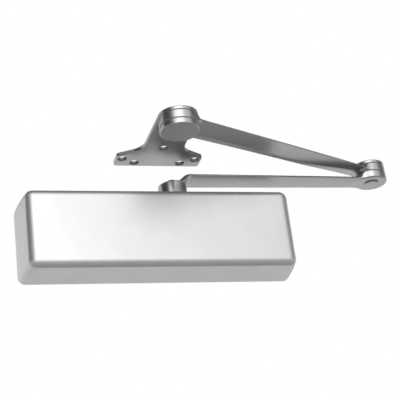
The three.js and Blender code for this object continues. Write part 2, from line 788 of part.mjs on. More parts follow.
/** Round-wire compression spring between the seat and the piston. */
function makeSpring() {
  const inset = SPRING.wireRadius + GAP;
  const start = springSeatX + inset;
  const end = pistonLeft - inset;
  const wire = new THREE.Shape();
  wire.absarc(0, 0, SPRING.wireRadius, 0, 2 * Math.PI);
  const options = {
    steps: SPRING.turns * SPRING.stepsPerTurn,
    extrudePath: new SpringCurve(start, end),
    curveSegments: 3,
  };
  return solid(new THREE.ExtrudeGeometry(wire, options));
}

/** Seat that the adjusting screw drives along the bore. */
function makeSpringSeat() {
  const outer = BODY.boreRadius - 2 * GAP;
  const inner = ADJUSTER.threadRadius + GAP;
  const pilot = SPRING.meanRadius - SPRING.wireRadius - 2 * GAP;
  const back = springSeatX - ADJUSTER.seatThickness;
  const front = springSeatX + ADJUSTER.pilotLength;
  const profile = [
    [inner, back],
    [outer, back],
    [outer, springSeatX],
    [pilot, springSeatX],
    [pilot, front],
    [inner, front],
    [inner, back],
  ];
  return alongX(turned(profile));
}

/** Adjusting screw with a hexagon socket head inside the spring-end plug. */
function makeAdjuster() {
  const seat = bodyLeft + CAP.recessDepth - GAP;
  const head = seat - ADJUSTER.headLength;
  const end = springSeatX + ADJUSTER.reach;
  const profile = [
    [0, head],
    [ADJUSTER.headRadius - 0.8, head],
    [ADJUSTER.headRadius, head + 0.8],
    [ADJUSTER.headRadius, seat],
    [ADJUSTER.threadRadius, seat],
    [ADJUSTER.threadRadius, end - 1],
    [ADJUSTER.threadRadius - 1, end],
    [0, end],
  ];
  const socket = alongX(raised(hexagon(ADJUSTER.socket), head - 1, head + ADJUSTER.socketDepth));
  return cut(alongX(turned(profile)), socket);
}

// ---------------------------------------------------------------------------------------------
// Forged arms

/** Blends from one value to another along a curve that leaves and arrives at the given slopes. */
function hermite(t, from, to, slopeFrom, slopeTo) {
  const t2 = t * t;
  const t3 = t2 * t;
  return (
    (2 * t3 - 3 * t2 + 1) * from +
    (t3 - 2 * t2 + t) * slopeFrom +
    (3 * t2 - 2 * t3) * to +
    (t3 - t2) * slopeTo
  );
}

/**
 * Section of a forged arm, square to X: thin at both sides and crowned on top. The underside is given
 * from the near side to the far side as pairs of a share of that side's width and a lift above the bottom.
 */
function armSection({ x, bottom, ridge, near, far, underside }) {
  const { edge, edgeBreak } = FORGING;
  const across = (share, trim) => share * ((share < 0 ? near : far) - trim);
  const [nearLift, farLift] = [underside[0][1], underside.at(-1)[1]];
  const section = [new THREE.Vector3(x, -near, bottom + nearLift + edgeBreak)];
  for (const [share, lift] of underside) {
    section.push(new THREE.Vector3(x, across(share, edgeBreak), bottom + lift));
  }
  section.push(new THREE.Vector3(x, far, bottom + farLift + edgeBreak));
  const middle = bottom + edge + (nearLift + farLift) / 2;
  const steps = 7;
  for (let k = 0; k <= steps; k++) {
    const share = Math.cos((k / steps) * Math.PI); // from the far side to the near side
    const side = middle + ((farLift - nearLift) * share) / 2;
    section.push(new THREE.Vector3(x, across(share, 0), side + (ridge - middle) * (1 - share * share)));
  }
  return section;
}

/** Evenly spaced values from one to another, both included. */
const spread = (from, to, count) =>
  Array.from({ length: count }, (_, k) => from + ((to - from) * k) / (count - 1));

/**
 * Half width of a bar that flares out to a round eye: at a distance from the eye's centre, given the bar's
 * half width and slope where the flare starts and the degrees round the eye at which it meets it.
 */
function flareHalfWidth(distance, { eyeRadius, meet, start, width, slope }) {
  const angle = THREE.MathUtils.degToRad(meet);
  const span = start - eyeRadius * Math.cos(angle);
  const t = Math.min((start - distance) / span, 1);
  return hermite(t, width, eyeRadius * Math.sin(angle), slope * span, span / Math.tan(angle));
}

/** Half width of the main arm's bar at x. */
function mainHalfWidth(x) {
  const { length, halfWidthAtEye, flare, flareMeet } = MAIN_ARM;
  const taper = (HUB.radius - halfWidthAtEye) / length;
  const straight = (at) => HUB.radius - taper * at;
  if (length - x >= flare) return straight(x);
  const width = straight(length - flare);
  const shape = { eyeRadius: ELBOW.radius, meet: flareMeet, start: flare, width, slope: -taper };
  return flareHalfWidth(length - x, shape);
}

/** Bar of the main arm: level with the hub's top, then up the jog and along to the elbow. */
function makeMainStrap() {
  const { length, jogCentre, jogLength, jogRise, ridgeLead, underCrown, flare } = MAIN_ARM;
  const jogStart = jogCentre - jogLength / 2;
  const jog = (x) => jogRise * THREE.MathUtils.smoothstep(x, jogStart, jogStart + jogLength);
  const underside = spread(-1, 1, 5).map((share) => [share, underCrown * share * share]);
  const stations = [
    ...spread(0, jogStart - ridgeLead, 3),
    ...spread(jogStart - ridgeLead / 2, jogStart + jogLength, 11),
    ...spread(3 * jogCentre, length - flare, 5),
    ...spread(length - flare + 4, length - ELBOW.radius * 0.53, 6),
  ];
  const sections = stations.map((x) =>
    armSection({
      x,
      bottom: hubTop + jog(x),
      ridge: hubTop + FORGING.crown + jog(x + ridgeLead),
      near: mainHalfWidth(x),
      far: mainHalfWidth(x),
      underside,
    }),
  );
  return solid(new LoftGeometry(sections, { capStart: true, capEnd: true }));
}

/** Main arm: domed hub with a square hole, bar, and the lower eye of the elbow. */
function makeMainArm() {
  const { radius, edgeBreak, spotRadius, spotHeight } = HUB;
  const { edge, crown } = FORGING;
  const domeHeight = (share) => edge + (crown - edge) * (1 - share ** 2);
  const dome = spread(1, 0, 7).map((share) => [share * radius, hubTop + domeHeight(share)]);
  const rim = [
    [0, hubBottom],
    [radius - edgeBreak, hubBottom],
    [radius, hubBottom + edgeBreak],
  ];
  const hub = solid(turned([...rim, ...dome], SMOOTH));
  const eyeProfile = rodProfile(ELBOW.radius, barBottom, mainEyeTop, ELBOW.lowerBreak, ELBOW.upperBreak);
  const eye = upright(turned(eyeProfile, SMOOTH), MAIN_ARM.length, 0);

  const spotFace = hubTop + spotHeight;
  const s = PINION.square / 2 + GAP;
  const cuts = [
    post(spotRadius, spotFace, hubTop + 2 * crown, 0, 0),
    solid(raised(roundedRectangle(-s, -s, s, s, 1), hubBottom - 1, spotFace + 1, 2)),
    post(ELBOW.pinRadius + GAP, barBottom - 1, mainEyeTop + 1, MAIN_ARM.length, 0),
  ];
  return cut(join(makeMainStrap(), hub, eye), ...cuts).translate([0, pinionY, 0]);
}

/** Washer on the hub's spot face. */
function makeArmWasher() {
  const low = hubTop + HUB.spotHeight + GAP;
  const inner = ARM_SCREW.radius + GAP;
  return upright(turned(ringProfile(inner, ARM_WASHER.radius, low, low + ARM_WASHER.thickness)), 0, pinionY);
}

/** Hexagon-socket screw that holds the arm on the pinion. */
function makeArmScrew() {
  const { radius, reach, headRadius, headHeight, headBreak, socket, socketDepth } = ARM_SCREW;
  const seat = hubTop + HUB.spotHeight + ARM_WASHER.thickness + 2 * GAP;
  const top = seat + headHeight;
  const profile = [
    [0, hubTop - reach],
    [radius, hubTop - reach],
    [radius, seat],
    [headRadius, seat],
    [headRadius, top - headBreak],
    [headRadius - headBreak, top],
    [0, top],
  ];
  const key = solid(raised(hexagon(socket), top - socketDepth, top + 1).translate(0, pinionY, 0));
  return cut(upright(turned(profile, 16), 0, pinionY), key);
}

/** Width of the forearm's bar on its near side at a distance from the shoe's axis. */
function forearmNearWidth(u) {
  const { length, nearWidth, taper, curve, shoeFlare, elbowFlare } = FOREARM;
  const body = (at) => nearWidth - taper * at - curve * at * at;
  if (u < shoeFlare) {
    const slope = taper + 2 * curve * shoeFlare;
    const shape = { eyeRadius: SHOE.radius, meet: FOREARM.shoeMeet, start: shoeFlare };
    return flareHalfWidth(u, { ...shape, width: body(shoeFlare), slope });
  }
  if (length - u <= elbowFlare) {
    const shape = { eyeRadius: FOREARM.elbowRadius, meet: FOREARM.elbowMeet, start: elbowFlare };
    return flareHalfWidth(length - u, { ...shape, width: body(length - elbowFlare), slope: 0 });
  }
  return body(u);
}

/** Width on its far side, which runs from the top of one eye to the top of the other with a slight sag. */
function forearmFarWidth(u) {
  const t = u / FOREARM.length;
  return THREE.MathUtils.lerp(SHOE.radius, FOREARM.elbowRadius, t) - 4 * FOREARM.farSag * t * (1 - t);
}

/** Bar of the forearm, with its bevelled underside and crowned top. */
function makeForearmStrap() {
  const { length, shoeFlare, elbowFlare, barStep, ridgeSink } = FOREARM;
  const stations = [
    ...spread(SHOE.radius * 0.35, shoeFlare - 2, 6),
    ...spread(2 * shoeFlare, length - 2 * elbowFlare, 4),
    ...spread(length - 1.6 * elbowFlare, length - elbowFlare, 3),
    ...spread(length - elbowFlare + 4, length - FOREARM.elbowRadius * 0.58, 5),
  ];
  const [bevelStart, bevelEnd] = [length - BEVEL.startsBefore, length - BEVEL.endsBefore];
  const sections = stations.map((u) => {
    const towardsElbow = THREE.MathUtils.smoothstep(u, bevelStart, bevelEnd);
    return armSection({
      x: u,
      bottom: foreEyeBottom + barStep,
      ridge: foreEyeTop - ridgeSink,
      near: forearmNearWidth(u),
      far: forearmFarWidth(u),
      underside: [
        [-1, 0],
        [BEVEL.share - BEVEL.widening * towardsElbow, 0],
        [1, BEVEL.rise + BEVEL.deepening * towardsElbow],
      ],
    });
  });
  return solid(new LoftGeometry(sections, { capStart: true, capEnd: true }));
}

/** Forearm: two level eyes and a bar that meets them above their undersides. */
function makeForearm() {
  const { length, angle, elbowRadius, eyeBreak } = FOREARM;
  const eye = (radius) => turned(rodProfile(radius, foreEyeBottom, foreEyeTop, eyeBreak, eyeBreak), SMOOTH);
  const [low, high] = [foreEyeBottom - 1, foreEyeTop + 1];
  const arm = cut(
    join(makeForearmStrap(), solid(eye(SHOE.radius)), upright(eye(elbowRadius), length, 0)),
    post(SHOE.studRadius + BUSH.wall + 2 * GAP, low, high, 0, 0),
    post(ELBOW.pinRadius + BUSH.wall + 2 * GAP, low, high, length, 0),
  );
  return arm.rotate([0, 0, angle]).translate([shoe.x, shoe.y, 0]);
}

// ---------------------------------------------------------------------------------------------
// Elbow and shoe

/** Bush pressed into an eye of the forearm. */
function makeBush(pinRadius, place) {
  const inner = pinRadius + GAP;
  const [low, high] = [foreEyeBottom + BUSH.recess, foreEyeTop - BUSH.recess];
  return upright(turned(ringProfile(inner, inner + BUSH.wall, low, high)), place.x, place.y);
}

/** Riveted elbow pin with its formed end just proud of the main arm. */
function makeElbowPin() {
  const { pinRadius, pinEndRadius, pinProud, pinBreak } = ELBOW;
  const top = plateBottom + ELBOW_CAP.thickness - RIVET_SINK;
  const seat = barBottom - GAP;
  const profile = [
    [0, seat - pinProud],
    [pinEndRadius - pinBreak, seat - pinProud],
    [pinEndRadius, seat - pinProud + pinBreak],
    [pinEndRadius, seat],
    [pinRadius, seat],
    [pinRadius, top - pinBreak],
    [pinRadius - pinBreak, top],
    [0, top],
  ];
  return upright(turned(profile), elbow.x, elbow.y);
}

/** Flat round cap on top of the elbow. */
function makeElbowCap() {
  const inner = ELBOW.pinRadius + GAP;
  const { radius, thickness, lowerBreak, upperBreak } = ELBOW_CAP;
  const top = plateBottom + thickness;
  const profile = [
    [inner, plateBottom],
    [radius - lowerBreak, plateBottom],
    [radius, plateBottom + lowerBreak],
    [radius, top - upperBreak],
    [radius - upperBreak, top],
    [inner, top],
    [inner, plateBottom],
  ];
  return upright(turned(profile, SMOOTH), elbow.x, elbow.y);
}

/** Heavy round head below the forearm's eye, with a blind hole for the stud. */
function makeShoeDisc() {
  const { radius, discThickness, discRound: r, discBreak, studRadius, studFloor } = SHOE;
  const top = foreEyeBottom - GAP;
  const bottom = top - discThickness;
  const edge = spread(-90, 0, 4).map((degrees) => {
    const a = THREE.MathUtils.degToRad(degrees);
    return [radius - r + r * Math.cos(a), bottom + r + r * Math.sin(a)];
  });
  const hole = studRadius + GAP;
  const profile = [
    [0, bottom],
    ...edge,
    [radius, top - discBreak],
    [radius - discBreak, top],
    [hole, top],
    [hole, bottom + studFloor],
    [0, bottom + studFloor],
  ];
  return upright(turned(profile, SMOOTH), shoe.x, shoe.y);
}

/** Stud that the forearm turns on, riveted into the plate. */
function makeShoeStud() {
  const low = foreEyeBottom - SHOE.discThickness + SHOE.studFloor;
  const high = plateBottom + PLATE.thickness - RIVET_SINK;
  const { studRadius, discBreak } = SHOE;
  return upright(turned(rodProfile(studRadius, low, high, discBreak, discBreak)), shoe.x, shoe.y);
}

/** Outline of the soffit plate about the shoe's axis: round end, neck, shoulders and a wide foot. */
function plateOutline() {
  const { neckHalfWidth, filletRadius, shoulderAngle, shoulder, halfWidth, reach, cornerRadius } = PLATE;
  const slope = THREE.MathUtils.degToRad(shoulderAngle);
  const filletEnd = Math.PI / 2 + slope; // direction from the fillet's centre to its upper end
  const filletX = neckHalfWidth + filletRadius;
  const endX = filletX + filletRadius * Math.cos(filletEnd);
  const endY = shoulder - (halfWidth - endX) * Math.tan(slope);
  const filletY = endY - filletRadius * Math.sin(filletEnd);
  const c = cornerRadius;
  const shape = new THREE.Shape();
  shape.absarc(0, 0, SHOE.radius, Math.PI, 2 * Math.PI);
  shape.absarc(filletX, filletY, filletRadius, Math.PI, filletEnd, true);
  shape.lineTo(halfWidth - c, shoulder - c * Math.tan(slope));
  shape.quadraticCurveTo(halfWidth, shoulder, halfWidth, shoulder + c);
  shape.absarc(halfWidth - c, reach - c, c, 0, Math.PI / 2);
  shape.absarc(c - halfWidth, reach - c, c, Math.PI / 2, Math.PI);
  shape.lineTo(-halfWidth, shoulder + c);
  shape.quadraticCurveTo(-halfWidth, shoulder, c - halfWidth, shoulder - c * Math.tan(slope));
  shape.absarc(-filletX, filletY, filletRadius, Math.PI - filletEnd, 0, true);
  return shape;
}

/** Soffit plate with five holes countersunk from below. */
function makePlate() {
  const { thickness, holeRadius, sinkRadius, sinkDepth, holes } = PLATE;
  const top = plateBottom + thickness;
  const blank = solid(raised(plateOutline(), plateBottom, top, 9));
  const drill = [
    [0, plateBottom - 1],
    [sinkRadius, plateBottom - 1],
    [sinkRadius, plateBottom],
    [holeRadius, plateBottom + sinkDepth],
    [holeRadius, top + 1],
    [0, top + 1],
  ];
  const drills = holes.map(([x, y]) => upright(turned(drill, 16), x, y));
  const studHole = post(SHOE.studRadius + GAP, plateBottom - 1, top + 1, 0, 0);
  return cut(blank, studHole, ...drills).translate([shoe.x, shoe.y, 0]);
}

// ---------------------------------------------------------------------------------------------
// Assembly

const closer = new THREE.Group();
const add = (name, body, material) => closer.add(piece(name, body, material));

add("cover", makeCover(), silverPaint);
add("cover_screw_left", makeCoverScrew(postPlaces[0]), zincSteel);
add("cover_screw_right", makeCoverScrew(postPlaces[1]), zincSteel);

add("closer_body", makeBody(), castIron);
add("spring_end_cap", makeSpringCap(), zincSteel);
add("spring_end_ring", atLeftEnd(ringGeometry()), rubber);
add("cylinder_end_cap", makeCylinderCap(), zincSteel);
add("cylinder_end_ring", atRightEnd(ringGeometry()), rubber);
VALVES.forEach((valve) => add(valve.name, makeValve(valve), zincSteel));

add("pinion_shaft", makePinion(), groundSteel);
add("upper_pinion_bearing", makeBearing(bearingTop - BEARING.height), groundSteel);
add("lower_pinion_bearing", makeBearing(-bearingTop), groundSteel);
add("pinion_seal", makePinionSeal(bearingTop + GAP), rubber);
add("pinion_gland", makeGland(sealTop + GAP), zincSteel);
add("lower_pinion_plug", makeLowerPlug(-bearingTop - GAP), zincSteel);

add("piston", makePiston(), groundSteel);
add("check_ball", makeCheckBall(), groundSteel);
add("ball_retainer", makeBallRetainer(), zincSteel);
add("closing_spring", makeSpring(), springSteel);
add("spring_seat", makeSpringSeat(), zincSteel);
add("spring_adjusting_screw", makeAdjuster(), zincSteel);

add("main_arm", makeMainArm(), forgedSteel);
add("arm_washer", makeArmWasher(), zincSteel);
add("arm_screw", makeArmScrew(), zincSteel);
add("elbow_pin", makeElbowPin(), groundSteel);
add("elbow_cap", makeElbowCap(), forgedSteel);
add("elbow_bush", makeBush(ELBOW.pinRadius, elbow), bronze);
add("forearm", makeForearm(), forgedSteel);
add("shoe_bush", makeBush(SHOE.studRadius, shoe), bronze);
add("shoe_disc", makeShoeDisc(), forgedSteel);
add("shoe_stud", makeShoeStud(), groundSteel);
add("soffit_plate", makePlate(), forgedSteel);

export default closer;
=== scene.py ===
"""Parallel-arm door closer: smooth surfaces, finishes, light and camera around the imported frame.

All sizes are metres in the frame's own axes: the origin lies on the door face behind the pinion, +X runs
along the door towards the elbow, -Y comes off the door into the room and +Z is up.
"""

from __future__ import annotations

import json
import logging
import math
from contextlib import contextmanager
from dataclasses import dataclass, replace
from enum import Enum
from typing import Any, Callable, Iterator

import bmesh
import bpy
import numpy as np
from mathutils import Matrix, Vector
from mathutils.geometry import delaunay_2d_cdt


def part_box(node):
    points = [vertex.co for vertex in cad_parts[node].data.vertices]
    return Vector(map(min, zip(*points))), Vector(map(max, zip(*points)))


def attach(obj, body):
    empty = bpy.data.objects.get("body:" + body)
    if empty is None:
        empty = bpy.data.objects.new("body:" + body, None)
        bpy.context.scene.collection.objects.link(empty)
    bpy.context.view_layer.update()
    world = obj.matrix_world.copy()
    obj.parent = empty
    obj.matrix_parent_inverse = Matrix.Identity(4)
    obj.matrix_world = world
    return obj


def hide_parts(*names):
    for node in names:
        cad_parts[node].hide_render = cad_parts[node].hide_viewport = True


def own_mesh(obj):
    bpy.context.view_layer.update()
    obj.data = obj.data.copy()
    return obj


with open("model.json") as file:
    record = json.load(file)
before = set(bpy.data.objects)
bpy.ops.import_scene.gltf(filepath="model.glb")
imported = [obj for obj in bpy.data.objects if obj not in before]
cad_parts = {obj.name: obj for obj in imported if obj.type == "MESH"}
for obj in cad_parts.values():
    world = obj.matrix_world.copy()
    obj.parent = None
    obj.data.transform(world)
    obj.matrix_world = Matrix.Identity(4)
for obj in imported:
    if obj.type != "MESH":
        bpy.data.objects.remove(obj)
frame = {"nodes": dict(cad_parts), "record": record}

LOG = logging.getLogger("door_closer")
MM = 0.001
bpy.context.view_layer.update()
SHARP = 32.0  # degrees above which an edge stays crisp
WELD = 2e-6  # distance under which points become one
TINY = 1e-12  # least length that is divided by
MOST = 0.49  # share of a profile's leg that one rounding may take
NEAR = 1e-9  # distance under which a filled face's points are one
INSIDE = 1  # fill the triangles inside the outline only
CLEAR = 10 * MM  # how far a cutter stands clear of a piece
HOLE_STEPS = 48
Array = np.ndarray
Piece = bpy.types.Object
Mesh = bpy.types.Mesh
Triple = tuple[float, float, float]
Colour = tuple[float, float, float, float]
Field = Callable[[Array, Array], Array]
Width = Callable[[Array], Array]


# Shader maths


class Socket:
    """One output socket of a material, with arithmetic that adds Math nodes."""

    def __init__(self, nodes: NodeTree, socket: Any) -> None:
        """Keeps the tree and the socket."""
        self.nodes = nodes
        self.socket = socket

    def _math(self, operation: str, *values: Any) -> Socket:
        """Adds one Math node. Args: operation, values. Returns: its output."""
        return self.nodes.make("ShaderNodeMath", {"operation": operation}, dict(enumerate(values)))

    def __add__(self, other: Any) -> Socket:
        """Self plus other."""
        return self._math("ADD", self, other)

    __radd__ = __add__

    def __mul__(self, other: Any) -> Socket:
        """Self times other."""
        return self._math("MULTIPLY", self, other)

    __rmul__ = __mul__

    def __sub__(self, other: Any) -> Socket:
        """Self minus other."""
        return self._math("SUBTRACT", self, other)

    def __rsub__(self, other: Any) -> Socket:
        """Other minus self."""
        return self._math("SUBTRACT", other, self)

    def either(self, other: Any) -> Socket:
        """The larger of two flags. Args: other. Returns: 1 if one is set."""
        return self._math("MAXIMUM", self, other)

    def step(self, low: float, high: float) -> Socket:
        """Smooth step from 0 at low to 1 at high. Args: low, high. Returns: the stepped value."""
        inputs = {"Value": self, "From Min": low, "From Max": high}
        return self.nodes.make("ShaderNodeMapRange", {"interpolation_type": "SMOOTHSTEP"}, inputs)


class NodeTree:
    """Nodes of a material or of the world, built from the shader back."""

    PROBES = 6

    def __init__(self, owner: Any, shader: str = "Principled BSDF") -> None:
        """Takes up a new material's or world's nodes. Args: owner, name of its shader."""
        owner.use_nodes = True
        self.tree = owner.node_tree
        self.shader = self.tree.nodes[shader]

    def make(self, kind: str, settings: dict[str, Any], inputs: dict[Any, Any], output: Any = 0) -> Socket:
        """Adds any node.

        Args:
            kind: the node's type.
            settings: attributes set first, such as a Math node's operation.
            inputs: socket name or number to a value, a colour or a link.
            output: which output to hand back.

        Returns:
            The chosen output.
        """
        node = self.tree.nodes.new(kind)
        for key, value in settings.items():
            setattr(node, key, value)
        for key, value in inputs.items():
            self.feed(node.inputs[key], value)
        return Socket(self, node.outputs[output])

    def feed(self, target: Any, value: Any) -> None:
        """Sets or links an input. Args: target socket, value."""
        if isinstance(value, Socket):
            self.tree.links.new(value.socket, target)
        else:
            target.default_value = value

    def place(self, stretch: Triple) -> Socket:
        """Object coordinates, stretched. Args: stretch. Returns: the vector."""
        coordinates = self.make("ShaderNodeTexCoord", {}, {}, "Object")
        return self.make("ShaderNodeMapping", {}, {"Vector": coordinates, "Scale": stretch})

    def noise(self, scale: float, detail: float, stretch: Triple = (1, 1, 1)) -> Socket:
        """Noise on object coordinates. Args: scale per metre, detail, stretch. Returns: value about 0.5."""
        inputs = {"Vector": self.place(stretch), "Scale": scale, "Detail": detail, "Roughness": 0.55}
        return self.make("ShaderNodeTexNoise", {}, inputs, "Fac")

    def colour_mix(self, factor: Any, first: Any, second: Any) -> Socket:
        """Blends two colours. Args: factor, first, second. Returns: the colour."""
        return self.make("ShaderNodeMix", {"data_type": "RGBA"}, {0: factor, 6: first, 7: second}, 2)

    def eased_normal(self, radius: float) -> Socket:
        """Normal of the surface with its edges rounded off. Args: radius. Returns: the normal."""
        return self.make("ShaderNodeBevel", {"samples": self.PROBES}, {"Radius": radius}, "Normal")

    def edge(self, eased: Socket) -> Socket:
        """Edge mask: one less the cosine between the eased normal and the true one. Args: eased."""
        inputs = {0: eased, 1: self.make("ShaderNodeNewGeometry", {}, {}, "Normal")}
        return 1 - self.make("ShaderNodeVectorMath", {"operation": "DOT_PRODUCT"}, inputs, "Value")

    def recess(self, reach: float) -> Socket:
        """How shut in a place is by its own piece, from 0 in the open. Args: reach. Returns: mask."""
        settings = {"samples": self.PROBES, "only_local": True}
        return 1 - self.make("ShaderNodeAmbientOcclusion", settings, {"Distance": reach}, "AO")

    def seen(self) -> tuple[Socket, Socket]:
        """Flags for the rays that look at the studio. Returns: camera, glossy or through; glossy alone."""
        kinds = ("Camera", "Glossy", "Transmission")
        flags = (self.make("ShaderNodeLightPath", {}, {}, f"Is {kind} Ray") for kind in kinds)
        camera, glossy, through = flags
        return camera.either(glossy).either(through), glossy

    def bump(self, height: Socket, strength: float, normal: Socket) -> None:
        """Feeds a Bump node into the shader. Args: height in metres, strength, normal under the relief."""
        inputs = {"Height": height, "Strength": strength, "Distance": 1.0, "Normal": normal}
        self.feed(self.shader.inputs["Normal"], self.make("ShaderNodeBump", {}, inputs, "Normal"))

    def surface(self, **values: Any) -> None:
        """Sets the shader's inputs by name, with underscores for blanks. Args: values."""
        for name, value in values.items():
            self.feed(self.shader.inputs[name.replace("_", " ")], value)


class Grain(Enum):
    """Stretch of a finish's fine relief: even, or drawn out round one axis by turning."""

    EVEN = (1.0, 1.0, 1.0)
    ROUND_X = (7.0, 1.0, 1.0)
    ROUND_Y = (1.0, 7.0, 1.0)
    ROUND_Z = (1.0, 1.0, 7.0)


# The noises under every finish, as scale per metre and detail
CLOUDS, BLOTCHES, SCUFFS = (26, 4), (110, 3), (420, 2)
GRAIN_DETAIL = 2
PATCHY = 0.6  # how much of an edge's wear comes and goes
FLECKS = 0.35  # share of the worn colour on the grain's peaks
RECESS = 4 * MM  # how far off a wall the occlusion reaches that darkens recesses with dust and painted shade
RELIEF = 0.6  # strength of both reliefs
# Roughness: the grain's share, the mean of that mix, how much bare edges shine and how much the dusty, shaded
# recesses dull
GRAIN_SHARE, MIX_MEAN, SHINE, DULL = 0.4, 0.7, 0.12, 0.2


@dataclass(frozen=True)
class Finish:
    """One finish: its colours and gloss, its relief, and what use does to its edges and corners.

    Attributes:
        name: of the material.
        light, dark: colours of the lighter and the darker clouds.
        worn, grime: colours that edges rub down to and that gathers in recesses.
        roughness, spread: mean roughness, and how much it varies.
        metallic: share of metal.
        grain_scale, grain_depth: fine relief per metre, and its height.
        worn, grime: colours that edges rub down to, and that recesses darken to as dust and painted shade.
        wear, dirt: how bare the edges are, and how far recesses darken with dust and painted shade, 0 to 1.
        ease: radius to which crisp edges are broken.
        grain: how the fine relief is drawn out.
    """

    name: str
    light: Colour
    dark: Colour
    worn: Colour
    dust_and_shade: Colour
    roughness: float
    spread: float
    metallic: float
    grain_scale: float
    grain_depth: float
    swell_scale: float
    swell_depth: float
    wear: float
    dust_and_shade_share: float
    ease: float
    grain: Grain = Grain.EVEN

    def build(self) -> bpy.types.Material:
        """Mixes clouds, flecks, worn edges, and recesses darkened by dust and painted shade, over two
        reliefs.

        The two numbers of a step are where that mask starts and where it is full.

        Returns:
            The material.
        """
        material = bpy.data.materials.new(f"{self.name}_{self.grain.name.lower()}")
        nodes = NodeTree(material)
        cloud, blotch, scuff = (nodes.noise(*size) for size in (CLOUDS, BLOTCHES, SCUFFS))
        fine = nodes.noise(self.grain_scale, GRAIN_DETAIL, self.grain.value)
        swell = nodes.noise(self.swell_scale, GRAIN_DETAIL)
        eased = nodes.eased_normal(self.ease)
        bare = nodes.edge(eased).step(0.01, 0.2) * (1 - PATCHY + PATCHY * scuff.step(0.4, 0.6)) * self.wear
        # Painted shade: the piece's own occlusion darkens its recesses, mottled by blotches like dust
        recess_dust_and_shade = nodes.recess(RECESS).step(0.1, 0.9) * (0.5 + 0.5 * blotch) * self.dust_and_shade_share
        tone = nodes.colour_mix(cloud.step(0.3, 0.7), self.dark, self.light)
        flecked = nodes.colour_mix(fine.step(0.58, 0.8) * FLECKS, tone, self.worn)
        rubbed = nodes.colour_mix(bare, flecked, self.worn)
        mottle = self.spread * (blotch + GRAIN_SHARE * fine - MIX_MEAN)
        nodes.surface(
            Base_Color=nodes.colour_mix(recess_dust_and_shade, rubbed, self.dust_and_shade),
            Roughness=self.roughness + mottle - SHINE * bare + DULL * recess_dust_and_shade,
            Metallic=self.metallic,
        )
        nodes.bump(fine * self.grain_depth + swell * self.swell_depth, RELIEF, eased)
        return material


def grey(value: float, warm: float = 0.0) -> Colour:
    """A nearly neutral colour. Args: value, warm tint. Returns: RGBA."""
    return (value * (1 + warm), value, value * (1 - warm), 1)


class Finishes:
    """Every finish on the closer, each built once for each grain that is asked for.

    The numbers of a row follow the order of Finish: roughness, spread and metallic, then the scale and depth
    of the grain and of the swell, then wear, the share of dust and painted shade in recesses, and ease.
    """

    SPECS = {
        "silver_paint": Finish(
            "silver_cover_paint", grey(0.68), grey(0.65), grey(0.76), grey(0.3, 0.02),
            0.45, 0.05, 0.86, 2600, 4e-6, 420, 1.2e-5, 0.35, 0.3, 0.3 * MM,
        ),
        "forged_steel": Finish(
            "silver_arm_coat", grey(0.48), grey(0.45), grey(0.60), grey(0.16, 0.02),
            0.31, 0.06, 0.92, 2200, 4e-6, 130, 3e-5, 0.45, 0.5, 0.3 * MM,
        ),
        "cast_iron": Finish(
            "sand_cast_iron", grey(0.30, 0.01), grey(0.22, 0.02), grey(0.45), grey(0.06, 0.08),
            0.60, 0.15, 0.7, 1500, 1.1e-4, 210, 2.4e-4, 0.6, 0.7, 0.8 * MM,
        ),
        "ground_steel": Finish(
            "ground_shaft_steel", grey(0.64), grey(0.56, 0.01), grey(0.75), grey(0.12, 0.1),
            0.26, 0.10, 1.0, 2600, 1.4e-5, 300, 4e-6, 0.5, 0.5, 0.25 * MM,
        ),
        "spring_steel": Finish(
            "oiled_spring_wire", grey(0.17, 0.02), grey(0.11, 0.04), grey(0.4), grey(0.04, 0.1),
            0.36, 0.12, 0.9, 1800, 2.5e-5, 260, 1e-5, 0.4, 0.4, 0.2 * MM,
        ),
        "zinc_steel": Finish(
            "bright_zinc_plate", (0.66, 0.67, 0.65, 1), (0.57, 0.59, 0.61, 1), grey(0.78), grey(0.16, 0.06),
            0.30, 0.12, 1.0, 1700, 1.4e-5, 320, 8e-6, 0.4, 0.6, 0.3 * MM,
        ),
        "bush_bronze": Finish(
            "sintered_bronze",
            (0.53, 0.34, 0.14, 1), (0.41, 0.25, 0.10, 1), (0.7, 0.5, 0.25, 1), (0.1, 0.06, 0.03, 1),
            0.44, 0.12, 0.95, 2400, 4e-5, 500, 1e-5, 0.4, 0.5, 0.2 * MM,
        ),
        "seal_rubber": Finish(
            "nitrile_rubber", grey(0.032), grey(0.022), grey(0.05), grey(0.012),
            0.60, 0.12, 0.0, 1300, 3e-5, 400, 1e-5, 0.3, 0.3, 0.2 * MM,
        ),
    }

    def __init__(self) -> None:
        """Starts with nothing built."""
        self.built: dict[tuple[str, Grain], bpy.types.Material] = {}

    def dress(self, piece: Piece, slot: str, grain: Grain = Grain.EVEN) -> None:
        """Gives a piece the finish of one of the record's slots. Args: piece, slot, grain."""
        piece.data.materials.clear()
        piece.data.materials.append(self.get(slot, grain))

    def get(self, slot: str, grain: Grain = Grain.EVEN) -> bpy.types.Material:
        """Finds a finish, built the first time that it is asked for. Args: slot, grain. Returns: material."""
        if (slot, grain) not in self.built:
            self.built[slot, grain] = replace(self.SPECS[slot], grain=grain).build()
        return self.built[slot, grain]


# Surfaces as whole arrays


